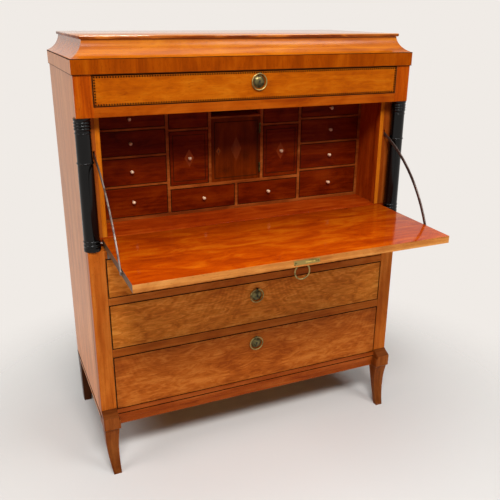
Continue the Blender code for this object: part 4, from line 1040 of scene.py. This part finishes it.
# %% Stays and plates
for word in ("left", "right"):
    board("stay_" + word, iron, ease=0.0007)
    board("hinge_plate_" + word, iron, ease=0.0003)
low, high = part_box("fall_lock")
LOCK_MIDDLE = (low[2] + high[2]) / 2
BOLT_HALF = 0.0018
BOLT_ENDS = (-0.004, 0.024)
board("fall_lock", lock_brass, bright_brass, ease=0,
      cuts=(("X", BOLT_ENDS[0]), ("X", BOLT_ENDS[1]),
            ("Z", LOCK_MIDDLE - BOLT_HALF), ("Z", LOCK_MIDDLE + BOLT_HALF)),
      pick=lambda middle, normal: int(normal.y < -FACING and BOLT_ENDS[0] < middle.x < BOLT_ENDS[1]
                                      and abs(middle.z - LOCK_MIDDLE) < BOLT_HALF))
print("lock plate %.0f x %.0f mm" % ((high[0] - low[0]) * 1000, (high[2] - low[2]) * 1000))

# %% A tree for slotted screws
screws, given = new_tree("slotted_screws", (("Head Radius", "Float"), ("Head Height", "Float"),
                                            ("Seed", "Int"), ("Metal", "Material"), ("Slot", "Material")))
head = add(screws, "GeometryNodeMeshCylinder", {"Vertices": 20, "Radius": given["Head Radius"],
                                                "Depth": given["Head Height"]})
# the slot is nearly as long as the head is wide, thin, and a little taller than the head
slot_size = {axis: add(screws, "ShaderNodeMath", {0: given[label], 1: times}, operation="MULTIPLY")
             for axis, label, times in (("X", "Head Radius", 1.7), ("Y", "Head Radius", 0.26),
                                        ("Z", "Head Height", 1.15))}
size = add(screws, "ShaderNodeCombineXYZ", slot_size)
slot = add(screws, "GeometryNodeMeshCube", {"Size": size})
cut = add(screws, "GeometryNodeCaptureAttribute", {"Geometry": slot}, domain="FACE")
cut.capture_items.new("BOOLEAN", "Cut")
cut.inputs["Cut"].default_value = True
both = add(screws, "GeometryNodeJoinGeometry", {0: cut})
screws.links.new(head.outputs["Mesh"], both.inputs[0])
spun = add(screws, "FunctionNodeRandomValue",
           {0: (pi / 2, 0, 0), 1: (pi / 2, pi, 0), "Seed": given["Seed"]}, data_type="FLOAT_VECTOR")
heads = add(screws, "GeometryNodeInstanceOnPoints",
            {"Points": given["Geometry"], "Instance": both, "Rotation": spun})
real = add(screws, "GeometryNodeRealizeInstances", {"Geometry": heads})
metal_on = add(screws, "GeometryNodeSetMaterial", {"Geometry": real, "Material": given["Metal"]})
slot_on = add(screws, "GeometryNodeSetMaterial",
              {"Geometry": metal_on, "Selection": cut.outputs["Cut"], "Material": given["Slot"]})
add(screws, "NodeGroupOutput", {0: slot_on})
print("screw tree:", len(screws.nodes), "nodes")

# %% Screws of the lock and the hinge plates
SEED = 7
HEAD_HEIGHT = 0.0006


def screw_row(name, points, radius, metal, body):
    """Slotted screws whose heads stand at the given points and look to the front."""
    mesh = bpy.data.meshes.new(name + "_points")
    mesh.from_pydata(points, [], [])
    made = run_tree(screws, {"Head Radius": radius, "Head Height": HEAD_HEIGHT, "Seed": SEED,
                             "Metal": metal, "Slot": hole_black}, mesh)
    show(name, made, [], body, sharp=40)


screw_row("lock_screws", [(x, low[1] + HEAD_HEIGHT / 2, LOCK_MIDDLE) for x in (-0.032, 0.032)], 0.0020,
          lock_brass, "fall")
for word in ("left", "right"):
    low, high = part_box("hinge_plate_" + word)
    at = [((low[0] + high[0]) / 2, low[1], low[2] + share * (high[2] - low[2])) for share in (0.25, 0.75)]
    screw_row("hinge_screws_" + word, at, 0.0019, iron, "case")
print("screws set")
